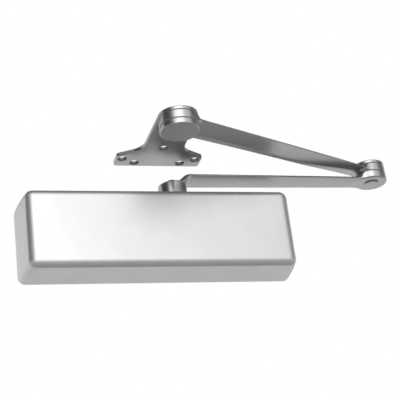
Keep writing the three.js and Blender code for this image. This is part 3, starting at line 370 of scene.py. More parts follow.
class Skin:
    """Grows one mesh out of grids, strips and filled outlines."""

    def __init__(self) -> None:
        """Starts empty."""
        self.points: list[Array] = []
        self.faces: list[Array] = []
        self.count = 0

    def grid(self, points: Array, wrap_rows: bool = False) -> Skin:
        """Adds a grid of quads.

        Args:
            points: rows by columns by 3, wound so that row cross column points outwards.
            wrap_rows: join the last row to the first.

        Returns:
            This skin.
        """
        rows, columns = points.shape[:2]
        across = np.arange(rows if wrap_rows else rows - 1)
        r0, c0 = np.meshgrid(across, np.arange(columns - 1), indexing="ij")
        r1, c1 = (r0 + 1) % rows, c0 + 1
        quads = np.stack([r0 * columns + c0, r1 * columns + c0, r1 * columns + c1, r0 * columns + c1], -1)
        return self.add(points.reshape(-1, 3), quads.reshape(-1, 4))

    def add(self, points: Array, faces: Array) -> Skin:
        """Adds points and faces numbered from zero. Args: points, faces. Returns: this skin."""
        self.points.append(points)
        self.faces.append(faces + self.count)
        self.count += len(points)
        return self

    def mesh(self, name: str, sharp: float = SHARP) -> Piece:
        """Makes the object: welded, closed up and smooth shaded except over sharp edges.

        Args:
            name: the piece's name.
            sharp: angle in degrees above which an edge stays crisp.

        Returns:
            The object, linked to the scene, with its place in its mesh.
        """
        points = np.concatenate(self.points)
        keys = np.round(points / WELD).astype(np.int64)
        _, first, inverse = np.unique(keys, axis=0, return_index=True, return_inverse=True)
        polygons = [face for block in self.faces for face in self._clean(inverse.reshape(-1)[block])]
        mesh = bpy.data.meshes.new(name)
        mesh.from_pydata(points[first].tolist(), [], polygons)
        mesh.validate()
        mesh.update()
        shade_smooth(mesh, sharp)
        return linked(name, mesh)

    @staticmethod
    def _clean(faces: Array) -> list[list[int]]:
        """Drops repeated corners, so a quad at a pole becomes a triangle. Args: faces. Returns: faces."""
        same = faces == np.roll(faces, 1, axis=1)
        touched = same.any(axis=1)
        pinched = [row[~skip].tolist() for row, skip in zip(faces[touched], same[touched])]
        return faces[~touched].tolist() + [face for face in pinched if len(set(face)) == len(face) >= 3]


def linked(name: str, data: Any) -> Piece:
    """Puts a mesh, a lamp or a camera into the scene. Args: name, data. Returns: its object."""
    piece = bpy.data.objects.new(name, data)
    bpy.context.scene.collection.objects.link(piece)
    return piece


def banded(name: str, grid: Array) -> Piece:
    """Makes a piece of one grid whose last row joins its first. Args: name, grid. Returns: the piece."""
    return Skin().grid(grid, wrap_rows=True).mesh(name)


def shade_smooth(mesh: Mesh, sharp: float) -> None:
    """Shades a mesh smooth, except over edges sharper than an angle. Args: mesh, sharp in degrees."""
    mesh.polygons.foreach_set("use_smooth", np.ones(len(mesh.polygons), bool))
    mesh.set_sharp_from_angle(angle=math.radians(sharp))


@contextmanager
def editing(mesh: Mesh) -> Iterator[bmesh.types.BMesh]:
    """Opens a mesh for editing and then writes it back. Args: mesh. Yields: its editable form."""
    bm = bmesh.new()
    bm.from_mesh(mesh)
    yield bm
    bm.to_mesh(mesh)
    bm.free()


def turn_outward(mesh: Mesh) -> None:
    """Makes every face of a closed skin point out. Args: mesh."""
    with editing(mesh) as bm:
        bmesh.ops.recalc_face_normals(bm, faces=bm.faces)


def unit(vectors: Array) -> Array:
    """Vectors brought to length one. Args: vectors. Returns: array."""
    return vectors / np.maximum(np.linalg.norm(vectors, axis=-1, keepdims=True), TINY)


def quarter(steps: int) -> Array:
    """Angles of a quarter turn. Args: spaces. Returns: radians."""
    return np.linspace(0, np.pi / 2, steps + 1)


def arc(radius: float, start: float, stop: float, steps: int, middle: tuple[float, float] = (0, 0)) -> Array:
    """Points on a circle's arc. Args: radius, first and last angle in degrees, spaces, middle."""
    angle = np.radians(np.linspace(start, stop, steps + 1))
    return np.stack([middle[0] + radius * np.cos(angle), middle[1] + radius * np.sin(angle)], -1)


def hole(radius: float, place: tuple[float, float]) -> Array:
    """Outline of a round hole. Args: radius, place. Returns: points by 2."""
    return arc(radius, 0, 360, HOLE_STEPS, place)[:-1]


def rounded_profile(corners: list[Triple], steps: int = 5) -> Array:
    """A polyline whose corners are replaced by arcs.

    Each corner is cut back along both legs by its radius over the tangent of half the angle between them,
    and an arc about the point on the bisector joins the cuts.

    Args:
        corners: (across, height, radius) of each corner.
        steps: spaces on each arc.

    Returns:
        Points by 2.
    """
    points = np.array([c[:2] for c in corners], float)
    out = [points[0]]
    for k in range(1, len(points) - 1):
        back, ahead = points[k - 1] - points[k], points[k + 1] - points[k]
        reach_back, reach_ahead = np.linalg.norm(back), np.linalg.norm(ahead)
        if corners[k][2] <= 0 or reach_back == 0 or reach_ahead == 0:
            out.append(points[k])
            continue
        back, ahead = back / reach_back, ahead / reach_ahead
        half = math.acos(float(np.clip(back @ ahead, -1, 1))) / 2
        trim = min(corners[k][2] / math.tan(half), reach_back * MOST, reach_ahead * MOST)
        radius = trim * math.tan(half)
        middle = back + ahead
        centre = points[k] + middle / np.linalg.norm(middle) * (radius / math.sin(half))
        a, b = points[k] + back * trim - centre, points[k] + ahead * trim - centre
        start = math.atan2(a[1], a[0])
        turn = (math.atan2(b[1], b[0]) - start + math.pi) % (2 * math.pi) - math.pi
        angle = start + turn * np.linspace(0, 1, steps + 1)
        out.extend(centre + radius * np.stack([np.cos(angle), np.sin(angle)], -1))
    out.append(points[-1])
    return np.array(out)


def turned(profile: Array, centre: tuple[float, float], facets: int = 96) -> Array:
    """A surface of revolution: each profile point (radius, height) is carried round an upright axis.

    Args:
        profile: points by 2, from the bottom outside round to the top.
        centre: the axis's place in plan.
        facets: steps round.

    Returns:
        Facets by points by 3 grid, rows to be wrapped.
    """
    angle = np.linspace(0, 2 * np.pi, facets, endpoint=False)[:, None]
    radius, height = profile[None, :, 0], np.broadcast_to(profile[None, :, 1], (facets, len(profile)))
    return np.stack([centre[0] + radius * np.cos(angle), centre[1] + radius * np.sin(angle), height], -1)


def to_eye(left: Array, flare: float, radius: float, meet: float, side: float, slope: float) -> Array:
    """Width of a bar's side as a cubic fillet takes it out to an eye's circle.

    Args:
        left: distance left to the eye's centre.
        flare: distance at which the fillet starts.
        radius: of the eye.
        meet: degrees round the eye where the side meets it.
        side: width where the fillet starts.
        slope: of the side there, towards the eye.

    Returns:
        The width, held at the side's beyond the fillet.
    """
    angle = math.radians(meet)
    span = flare - radius * math.cos(angle)
    t = np.clip((flare - left) / span, 0, 1)
    return hermite(t, side, radius * math.sin(angle), slope * span, span / math.tan(angle))


def smooth(value: Array | float, low: float, high: float) -> Array:
    """Smooth step, three t squared less two t cubed, from 0 at low to 1 at high. Args: value, low, high."""
    t = np.clip((np.asarray(value, float) - low) / (high - low), 0, 1)
    return t * t * (3 - 2 * t)


def hermite(t: Array, start: float, end: float, leave: float, arrive: float) -> Array:
    """Cubic between two values with given end slopes. Args: t, start, end, leave, arrive. Returns: array."""
    return (
        (2 * t**3 - 3 * t**2 + 1) * start
        + (t**3 - 2 * t**2 + t) * leave
        + (3 * t**2 - 2 * t**3) * end
        + (t**3 - t**2) * arrive
    )


def centre_of(node: str) -> Vector:
    """Middle of a CAD node's box. Args: node. Returns: the point."""
    low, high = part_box(node)
    return (low + high) / 2


def levels(node: str) -> tuple[float, float]:
    """Lowest and highest level of a CAD node. Args: node. Returns: both heights."""
    low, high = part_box(node)
    return low.z, high.z


BODIES = {node: body for body, nodes in frame["record"]["behaviour"]["bodies"].items() for node in nodes}
SLOTS = {part["node"]: part["material_slot"] for part in frame["record"]["subparts"]}


def stands_for(piece: Piece, node: str, finishes: Finishes, grain: Grain = Grain.EVEN) -> None:
    """Lets a new piece take a CAD node's place, body and finish. Args: piece, node, finishes, grain."""
    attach(piece, BODIES[node])
    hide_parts(node)
    finishes.dress(piece, SLOTS[node], grain)
    LOG.info("%s stands for %s: %d faces", piece.name, node, len(piece.data.polygons))


def cut_away(piece: Piece, outline: Array, low: float, high: float) -> None:
    """Cuts an upright prism out of a piece.

    Args:
        piece: the closed piece.
        outline: of the prism in plan, points by 2.
        low: level of the prism's underside.
        high: level of its top.
    """
    count = len(outline)
    ring = np.arange(count)
    sides = np.stack([ring, (ring + 1) % count, (ring + 1) % count + count, ring + count], -1).tolist()
    points = np.concatenate([np.column_stack([outline, np.full(count, level)]) for level in (low, high)])
    mesh = bpy.data.meshes.new("cutter")
    mesh.from_pydata(points.tolist(), [], sides + [ring[::-1].tolist(), (ring + count).tolist()])
    turn_outward(mesh)
    cutter = linked("cutter", mesh)
    modifier = piece.modifiers.new("cut", "BOOLEAN")
    modifier.object = cutter
    modifier.solver = "EXACT"
    bpy.context.view_layer.update()
    evaluated = piece.evaluated_get(bpy.context.evaluated_depsgraph_get())
    piece.data = bpy.data.meshes.new_from_object(evaluated)
    piece.modifiers.clear()
    bpy.data.objects.remove(cutter)
    shade_smooth(piece.data, SHARP)


def add_shell(piece: Piece, other: Piece) -> None:
    """Moves another piece's skin into a piece. Args: piece, other, which goes."""
    with editing(piece.data) as bm:
        bm.from_mesh(other.data)
    bpy.data.objects.remove(other)
    shade_smooth(piece.data, SHARP)


# Cover


@dataclass
class Cover:
    """Long folded cover with leaning ends and a soft front edge."""

    finishes: Finishes
    wall: float = 2.0 * MM
    end_lean: float = 7.4 * MM
    corner: float = 8.4 * MM
    bulge: float = 1.7
    front_round: float = 8.2 * MM
    fold: float = 14
    crease: float = 0.12 * MM
    slot_radius: float = 14.8 * MM
    slot_open: float = 4 * MM
    slot_steps: int = 40
    lip_round: float = 0.35 * MM
    lip_steps: int = 3
    least_corner: float = 0.3 * MM
    straight_from: float = 2 * MM
    straight_rings: int = 12
    front_shares: tuple[float, ...] = (0.97, 0.9, 0.7, 0.4, 0)
    steps: int = 14

    def __post_init__(self) -> None:
        """Reads the cover's box from the frame."""
        self.low, self.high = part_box("cover")
        self.depth = -self.low.y

    def ring(self, y: Array, inset: Array, wall: float) -> Array:
        """Rounded rectangles in X and Z, one for each depth.

        The ends lean in by the share of the depth to the power of the bulge, so they swell a little; every
        side is drawn in by the wall and the inset, and the corner radius shrinks by as much.

        Args:
            y: depth of each ring.
            inset: how far each ring is drawn in.
            wall: thickness taken off the outside.

        Returns:
            Rings by points by 3.
        """
        lean = self.end_lean * (-y / self.depth) ** self.bulge
        radius = np.maximum(self.corner - wall - inset, self.least_corner)
        left = self.low.x + wall + lean + inset + radius
        right = self.high.x - wall - lean - inset - radius
        top = self.high.z - wall - inset - radius
        out = []
        for k, (x, z) in enumerate(((right, -top), (right, top), (left, top), (left, -top))):
            angle = quarter(self.steps) + (k - 1) * np.pi / 2
            px = x[:, None] + radius[:, None] * np.cos(angle)
            pz = z[:, None] + radius[:, None] * np.sin(angle)
            out.append(np.stack([px, np.broadcast_to(y[:, None], px.shape), pz], -1))
        return np.concatenate(out, 1)

    def form(self, wall: float, lip: float) -> Array:
        """One skin of the cover, from the edge at the door to the middle of the front.

        Straight sides run forward to where the soft edge starts with a faint fold, a circle of the edge's
        radius less the wall turns them in, and rings that shrink towards the middle fill the front.

        Args:
            wall: depth of this skin below the outside.
            lip: how far this skin is drawn towards the middle of the wall at the door.

        Returns:
            Rings by points by 3.
        """
        fold = math.radians(self.fold)
        centre = -(self.depth - self.front_round)
        radius = self.front_round - wall
        turn = quarter(self.lip_steps)
        angle = np.linspace(fold, np.pi / 2, self.steps + 1)
        edge = centre - radius * math.sin(fold) + self.crease
        sides = np.linspace(-self.straight_from, edge, self.straight_rings)
        y = np.concatenate([-self.lip_round * (1 - np.cos(turn)), sides, centre - radius * np.sin(angle)])
        draw = lip * self.lip_round * (1 - np.sin(turn))
        inset = np.concatenate([draw, np.zeros(len(sides)), radius * (math.cos(fold) - np.cos(angle))])
        rings = self.ring(y, inset, wall)
        flat = rings[-1:]
        middle = flat.mean(axis=1, keepdims=True)
        shares = np.array(self.front_shares)[:, None, None]
        return np.concatenate([rings, middle + (flat - middle) * shares], 0)

    def build(self) -> Piece:
        """Makes the shell and cuts the pinion's slot in its top. Returns: the cover."""
        outer, inner = self.form(0, 1), self.form(self.wall, -1)
        skin = Skin().grid(outer[::-1].transpose(1, 0, 2)[:, ::-1], wrap_rows=True)
        skin.grid(inner.transpose(1, 0, 2), wrap_rows=True)
        skin.grid(np.stack([inner[0], outer[0]], 1), wrap_rows=True)
        cover = skin.mesh("cover_shell")
        turn_outward(cover.data)
        cut_away(cover, self.slot(), self.high.z - 2 * self.wall, self.high.z + CLEAR)
        stands_for(cover, "cover", self.finishes)
        return cover

    def slot(self) -> Array:
        """Open-ended slot that lets the cover slide over the pinion's gland. Returns: outline in plan."""
        r = self.slot_radius
        mouth = [[r, self.slot_open], [-r, self.slot_open]]
        return np.concatenate([mouth, arc(r, 180, 360, self.slot_steps, (0, -self.depth / 2))])


# Forged arms


@dataclass(frozen=True)
class Eye:
    """Round eye at one end of a bar: its radius, and the degrees round it where each side meets it."""

    radius: float
    near_meet: float
    far_meet: float

    def reach(self, meet: float) -> float:
        """How far along the bar a side meets the eye. Args: meet in degrees. Returns: distance."""
        return self.radius * math.cos(math.radians(meet))


@dataclass
class Ribs:
    """Ribs of a forging in plan: each runs from a point on the spine out to the outline."""

    EYE_STEPS = 72

    spine: Array
    rim: Array

    @classmethod
    def about(cls, length: float, eyes: tuple[Eye, Eye], widths: tuple[Width, Width], rows: int) -> Ribs:
        """Lays ribs round a bar with a round eye at each end.

        Round each eye the ribs fan out from its centre; along the bar they stand nearly square to the axis,
        packed closer towards the eyes by half of a cosine.

        Args:
            length: between the eyes' centres.
            eyes: at the start and at the end.
            widths: of the near side and of the far side, at a distance along the bar.
            rows: ribs along each side of the bar.

        Returns:
            The ribs, in order round the outline, anticlockwise from above.
        """
        first, last = eyes
        t = np.linspace(0, 1, rows)
        t = 0.5 * t + 0.25 * (1 - np.cos(np.pi * t))
        near_u = first.reach(first.near_meet) * (1 - t) + (length - last.reach(last.near_meet)) * t
        far_u = first.reach(first.far_meet) * (1 - t) + (length - last.reach(last.far_meet)) * t
        first_arc = arc(first.radius, first.far_meet, 360 - first.near_meet, cls.EYE_STEPS)
        last_arc = arc(last.radius, last.near_meet - 180, 180 - last.far_meet, cls.EYE_STEPS) + [length, 0]
        near_side = np.stack([near_u, -widths[0](near_u)], -1)[1:-1]
        far_side = np.stack([far_u, widths[1](far_u)], -1)[1:-1]
        middle = np.stack([(near_u + far_u) / 2, np.zeros_like(t)], -1)[1:-1]
        ends = np.zeros_like(first_arc), np.broadcast_to([length, 0], last_arc.shape)
        rim = np.concatenate([first_arc, near_side, last_arc, far_side[::-1]])
        return cls(np.concatenate([ends[0], middle, ends[1], middle[::-1]]), rim)


@dataclass
class Forging:
    """A forging seen as two height fields, below and above, over one outline."""

    ribs: Ribs
    below: Field
    above: Field
    low_round: float
    high_round: float
    columns: int = 27
    rim_steps: int = 6
    share: float = 0.42

    def grid(self) -> Array:
        """Lower field from the spine out, a rounded rim, and the upper field back to the spine.

        Each rib's point is spine plus distance times the rib's direction. The distances bunch near the rim
        as a sine does, and the last stretch turns through a quarter circle below and another above, whose
        radii are at most a share of the thickness there.

        Returns:
            Ribs by points by 3.
        """
        reach = np.linalg.norm(self.ribs.rim - self.ribs.spine, axis=1)[:, None]
        out = (self.ribs.rim - self.ribs.spine) / reach
        x, y = self.ribs.rim[:, :1], self.ribs.rim[:, 1:]
        thickness = self.above(x, y) - self.below(x, y)
        low = self._skin(reach, out, self.below, np.minimum(self.low_round, self.share * thickness), 1)
        high = self._skin(reach, out, self.above, np.minimum(self.high_round, self.share * thickness), -1)
        return np.concatenate([low, high[:, ::-1]], 1)

    def _skin(self, reach: Array, out: Array, level: Field, r: Array, way: int) -> Array:
        """One field out to the rim, ending in a quarter circle.

        Args:
            reach, out: length and direction of each rib.
            level: the field.
            r: radius of the quarter circle on each rib.
            way: 1 if it turns up, -1 if it turns down.

        Returns:
            Ribs by points by 3.
        """
        flat = np.sin(quarter(self.columns))[None] * (reach - r)
        turn = quarter(self.rim_steps)[None, 1:]
        across = np.concatenate([flat, reach - r + r * np.sin(turn)], 1)
        lift = np.concatenate([np.zeros_like(flat), r * (1 - np.cos(turn))], 1)
        x = self.ribs.spine[:, :1] + across * out[:, :1]
        y = self.ribs.spine[:, 1:] + across * out[:, 1:]
        return np.stack([x, y, level(x, y) + way * lift], -1)


@dataclass
class MainArm:
    """Forged arm: domed hub, jog and a flat-backed, crowned bar that ends in a round eye."""

    finishes: Finishes
    hub_radius: float = 16.3 * MM
    hub_height: float = 12.4 * MM
    bore: float = 8.2 * MM
    edge: float = 1.2 * MM
    crown: float = 7.2 * MM
    low_round: float = 1.8 * MM
    high_round: float = 0.7 * MM
    under_crown: float = 0.4 * MM
    crown_from: float = 6 * MM
    crown_full: float = 16 * MM
    jog_rise: float = 8.1 * MM
    jog_centre: float = 14.4 * MM
    jog_length: float = 13 * MM
    ridge_lead: float = 2.8 * MM
    length: float = 247.4 * MM
    width_at_eye: float = 12.2 * MM
    eye_radius: float = 18.7 * MM
    eye_thickness: float = 9.2 * MM
    flare: float = 32 * MM
    meet: float = 58
    spot_from: float = 8.5 * MM
    spot_to: float = 9.3 * MM
    spot_level: float = 1.0 * MM
    square: float = 5.8 * MM
    pin_hole: float = 6.7 * MM
    fillet: float = 3 * MM
    hub_broken: float = 0.4 * MM
    hub_round: float = 1 * MM
    hub_meet: float = 89.5
    overlap: float = 0.6 * MM
    clear: float = 50 * MM
    rows: int = 130

    def __post_init__(self) -> None:
        """Reads the hub's level and place from the frame."""
        self.hub_bottom = levels("main_arm")[0]
        self.hub_top = self.hub_bottom + self.hub_height
        self.axis_y = centre_of("pinion_shaft").y

    def half_width(self, x: Array) -> Array:
        """Linear taper, then a cubic fillet out to the eye's circle. Args: x. Returns: half width."""
        taper = (self.hub_radius - self.width_at_eye) / self.length
        left = self.length - x
        start = self.hub_radius - taper * (self.length - self.flare)
        fillet = to_eye(left, self.flare, self.eye_radius, self.meet, start, -taper)
        return np.where(left < self.flare, fillet, self.hub_radius - taper * x)

    def jog(self, x: Array, lead: float = 0) -> Array:
        """Rise of the jog at x. Args: x, how much sooner it starts. Returns: rise."""
        start = self.jog_centre - self.jog_length / 2 - lead
        return self.jog_rise * smooth(x, start, start + self.jog_length)

    def share(self, x: Array, y: Array) -> Array:
        """Distance from the middle as a share of the half width, round the hub too. Returns: 0 to 1."""
        width = np.maximum(self.half_width(np.maximum(x, 0)), TINY)
        return np.clip(np.where(x < 0, np.hypot(x, y) / self.hub_radius, np.abs(y) / width), 0, 1)

    def side_lift(self, x: Array, y: Array) -> Array:
        """How far the bar's sides stand above its middle, off hub and eye. Args: x, y. Returns: lift."""
        from_eye = np.hypot(x - self.length, y)
        clear = smooth(from_eye, self.eye_radius, self.eye_radius + self.fillet)
        return self.under_crown * smooth(x, self.crown_from, self.crown_full) * clear

    def below(self, x: Array, y: Array) -> Array:
        """Underside: up the jog, with a shallow parabola across. Args: x, y. Returns: height."""
        return self.hub_top + self.jog(x) + self.side_lift(x, y) * self.share(x, y) ** 2

    def above(self, x: Array, y: Array) -> Array:
        """Top: a parabola across the bar, a dome on the hub, a flat eye. Args: x, y. Returns: height."""
        base = self.hub_top + self.edge + self.side_lift(x, y) + self.jog(x)
        ridge = self.hub_top + self.crown + self.jog(x, self.ridge_lead)
        top = base + (ridge - base) * (1 - self.share(x, y) ** 2)
        spot = 1 - smooth(np.hypot(x, y), self.spot_from, self.spot_to)
        top = top + (np.minimum(top, self.hub_top + self.spot_level) - top) * spot
        eye_top = self.hub_top + self.jog_rise + self.eye_thickness
        from_eye = np.hypot(x - self.length, y)
        return top + (eye_top - top) * (1 - smooth(from_eye, self.eye_radius, self.eye_radius + self.fillet))

    def build(self) -> Piece:
        """Joins the forged bar and the turned hub below it. Returns: the arm."""
        eyes = Eye(self.hub_radius, self.hub_meet, self.hub_meet), Eye(self.eye_radius, self.meet, self.meet)
        ribs = Ribs.about(self.length, eyes, (self.half_width, self.half_width), self.rows)
        forging = Forging(ribs, self.below, self.above, self.low_round, self.high_round)
        arm = banded("main_arm_forging", forging.grid() + [0, self.axis_y, 0])
        square = np.array([(-1, -1), (1, -1), (1, 1), (-1, 1)]) * self.square + [0, self.axis_y]
        for outline in (hole(self.pin_hole, (self.length, self.axis_y)), square):
            cut_away(arm, outline, self.hub_bottom, self.hub_top + self.clear)
        join = self.hub_top + self.overlap
        bore, outer, foot = self.bore, self.hub_radius, self.hub_bottom
        corners = [(bore, join, 0), (bore, foot, self.hub_broken), (outer, foot, self.hub_round)]
        corners += [(outer, join, 0), (bore, join, 0)]
        hub = turned(rounded_profile(corners), (0, self.axis_y))
        add_shell(arm, banded("hub", hub))
        stands_for(arm, "main_arm", self.finishes)
        return arm


@dataclass
class Forearm:
    """Forged forearm: two level eyes and a bar that meets them above their undersides."""

    finishes: Finishes
    length: float = 286.7 * MM
    angle: float = 22.84
    shoe_radius: float = 21.5 * MM
    elbow_radius: float = 18.4 * MM
    bar_step: float = 2.8 * MM
    ridge_sink: float = 0.1 * MM
    edge: float = 1.2 * MM
    shoe_meet: float = 72
    elbow_meet: float = 55
    shoe_flare: float = 38 * MM
    elbow_flare: float = 30 * MM
    near_curve: Triple = (17.9, 13.1, 29)
    far_sag: float = 2 * MM
    shoe_hole: float = 10 * MM
    elbow_hole: float = 9.4 * MM
    bevel_share: float = 0.56
    bevel_widening: float = 0.5
    bevel_rise: float = 1.2 * MM
    bevel_deepening: float = 2.2 * MM
    bevel_starts: float = 100 * MM
    bevel_ends: float = 20 * MM
    bevel_softness: float = 0.03
    fillet_below: float = 3.2 * MM
    fillet_above: float = 2.4 * MM
    rim_round: float = 0.8 * MM
    rows: int = 160
    columns: int = 33

    def __post_init__(self) -> None:
        """Reads the eyes' levels and the shoe's place from the frame."""
        self.bottom, self.top = levels("forearm")
        self.shoe = centre_of("shoe_disc")

    def near_bar(self, u: Array | float) -> Array | float:
        """Width of the near side between the fillets: a gentle curve. Args: u. Returns: width."""
        start, taper, sag = self.near_curve
        return (start - taper * u - sag * u * u) * MM

    def near_width(self, u: Array) -> Array:
        """The gentle curve with a cubic fillet out to each eye. Args: u. Returns: width."""
        shoe_side, past = (self.near_bar(self.shoe_flare + more) for more in (0, MM))
        slope = (shoe_side - past) / MM
        shoe = to_eye(u, self.shoe_flare, self.shoe_radius, self.shoe_meet, shoe_side, slope)
        side = self.near_bar(self.length - self.elbow_flare)
        left = self.length - u
        elbow = to_eye(left, self.elbow_flare, self.elbow_radius, self.elbow_meet, side, 0)
        bar = np.where(left < self.elbow_flare, elbow, self.near_bar(u))
        return np.where(u < self.shoe_flare, shoe, bar)

    def far_width(self, u: Array) -> Array:
        """Straight from the top of one eye to the top of the other, less a parabola. Returns: width."""
        t = u / self.length
        return self.shoe_radius + (self.elbow_radius - self.shoe_radius) * t - 4 * self.far_sag * t * (1 - t)

    def share(self, u: Array, n: Array) -> Array:
        """Distance from the axis as a share of that side's width. Args: u, n. Returns: -1 to 1."""
        u = np.clip(u, 0, self.length)
        return np.clip(n / np.where(n < 0, self.near_width(u), self.far_width(u)), -1, 1)

    def towards_elbow(self, u: Array) -> Array:
        """How far the bevel below has widened. Args: u. Returns: 0 to 1."""
        return smooth(u, self.length - self.bevel_starts, self.length - self.bevel_ends)

    def rise(self, u: Array) -> Array:
        """Height of the bevel at the far side. Args: u. Returns: height."""
        return self.bevel_rise + self.bevel_deepening * self.towards_elbow(u)

    def below(self, u: Array, n: Array) -> Array:
        """Underside: flat, bevelled up to the far side, filleted to both eyes.

        The bevel's ramp starts softly: half of itself plus the root of its square plus a small square.

        Args:
            u: along the bar.
            n: across it.

        Returns:
            Height.
        """
        start = self.bevel_share - self.bevel_widening * self.towards_elbow(u)
        ramp = (self.share(u, n) - start) / (1 - start)
        soft = self.bevel_softness
        ramp = 0.5 * (ramp + np.sqrt(ramp * ramp + soft * soft)) - 0.5 * soft
        bar = self.bottom + self.bar_step + self.rise(u) * np.clip(ramp, 0, 1)
        return self.with_eyes(u, n, bar, self.bottom, self.fillet_below)

    def above(self, u: Array, n: Array) -> Array:
        """Crowned top that runs level into both eyes. Args: u, n. Returns: height."""
        share = self.share(u, n)
        floor = self.bottom + self.bar_step + self.edge
        side = floor + self.rise(u) * (share + 1) / 2
        ridge = self.top - self.ridge_sink - floor - self.rise(u) / 2
        return self.with_eyes(u, n, side + ridge * (1 - share * share), self.top, self.fillet_above)

    def with_eyes(self, u: Array, n: Array, bar: Array, eye: float, fillet: float) -> Array:
        """Blends the bar's height into both eyes' level over a fillet.

        Args:
            u: along the bar.
            n: across it.
            bar: height of the bar there.
            eye: level of both eyes.
            fillet: width of the blend.

        Returns:
            Height.
        """
        at_shoe = 1 - smooth(np.hypot(u, n), self.shoe_radius, self.shoe_radius + fillet)
        at_elbow = 1 - smooth(np.hypot(u - self.length, n), self.elbow_radius, self.elbow_radius + fillet)
        return bar + (eye - bar) * np.maximum(at_shoe, at_elbow)

    def build(self) -> Piece:
        """Makes the forging along +X and turns it into place on the shoe's axis. Returns: the forearm."""
        eyes = Eye(self.shoe_radius, self.shoe_meet, 90), Eye(self.elbow_radius, self.elbow_meet, 90)
        ribs = Ribs.about(self.length, eyes, (self.near_width, self.far_width), self.rows)
        grid = Forging(ribs, self.below, self.above, self.rim_round, self.rim_round, self.columns).grid()
        a = math.radians(self.angle)
        x = self.shoe.x + grid[..., 0] * math.cos(a) - grid[..., 1] * math.sin(a)
        y = self.shoe.y + grid[..., 0] * math.sin(a) + grid[..., 1] * math.cos(a)
        arm = banded("forearm_forging", np.stack([x, y, grid[..., 2]], -1))
        for place, radius in ((self.shoe, self.shoe_hole), (centre_of("elbow_pin"), self.elbow_hole)):
            cut_away(arm, hole(radius, (place.x, place.y)), self.bottom - CLEAR, self.top + CLEAR)
        stands_for(arm, "forearm", self.finishes)
        return arm


# Elbow, shoe and plate


@dataclass
class ElbowAndShoe:
    """Discs and pins of the elbow and the shoe, each turned about its CAD node's own upright axis."""

    finishes: Finishes
    pin_end_radius: float = 8.5 * MM
    pin_end_round: float = 0.9 * MM
    pin_proud: float = 1.2 * MM
    pin_radius: float = 6.4 * MM
    seat_round: float = 0.1 * MM
    cap_radius: float = 18.2 * MM
    cap_round: float = 0.7 * MM
    cap_top_round: float = 1 * MM
    disc_radius: float = 21.5 * MM
    disc_round: float = 1.6 * MM
    disc_top_round: float = 0.8 * MM
    stud_radius: float = 7 * MM
    stud_round: float = 0.5 * MM
    stud_floor: float = 3 * MM
    gap: float = 0.3 * MM
    broken: float = 0.6 * MM
    round_steps: int = 7

    def turn(self, name: str, node: str, corners: list[Triple], grain: Grain = Grain.EVEN) -> Piece:
        """Turns a profile about a node's axis. Args: name, node, corners, grain. Returns: the piece."""
        middle = centre_of(node)
        profile = rounded_profile(corners, self.round_steps)
        piece = banded(name, turned(profile, (middle.x, middle.y)))
        stands_for(piece, node, self.finishes, grain)
        return piece

    def cap(self) -> Piece:
        """Flat cap over the elbow. Returns: the cap."""
        low, high = levels("elbow_cap")
        inner, outer = self.pin_radius + self.gap, self.cap_radius
        corners = [(inner, high, 0), (inner, low, 0), (outer, low, self.cap_round)]
        corners += [(outer, high, self.cap_top_round), (inner, high, 0)]
        return self.turn("elbow_cap_disc", "elbow_cap", corners)

    def disc(self) -> Piece:
        """Heavy round head with a blind hole for the stud. Returns: the head."""
        low, high = levels("shoe_disc")
        outer, inner, floor = self.disc_radius, self.stud_radius + self.gap, low + self.stud_floor
        corners = [(0, low, 0), (outer, low, self.disc_round), (outer, high, self.disc_top_round)]
        corners += [(inner, high, 0), (inner, floor, 0), (0, floor, 0)]
        return self.turn("shoe_round_head", "shoe_disc", corners)

    def stud(self) -> Piece:
        """Stud that the forearm turns on. Returns: the stud."""
        low, high = levels("shoe_stud")
        outer = self.stud_radius
        corners = [(0, low, 0), (outer, low, self.stud_round), (outer, high, self.broken), (0, high, 0)]
        return self.turn("shoe_stud_riveted", "shoe_stud", corners, Grain.ROUND_Z)

    def pin(self) -> Piece:
        """Elbow pin with its formed end, coated together with the arms. Returns: the pin."""
        low, high = levels("elbow_pin")
        outer, inner, seat = self.pin_end_radius, self.pin_radius, low + self.pin_proud
        corners = [(0, low, 0), (outer, low, self.pin_end_round), (outer, seat, self.seat_round)]
        corners += [(inner, seat, 0), (inner, high, self.broken), (0, high, 0)]
        pin = self.turn("elbow_pin_riveted", "elbow_pin", corners)
        self.finishes.dress(pin, "forged_steel")
        return pin

    def build(self) -> list[Piece]:
        """Makes all the turned pieces. Returns: the pieces."""
        return [self.cap(), self.disc(), self.stud(), self.pin()]


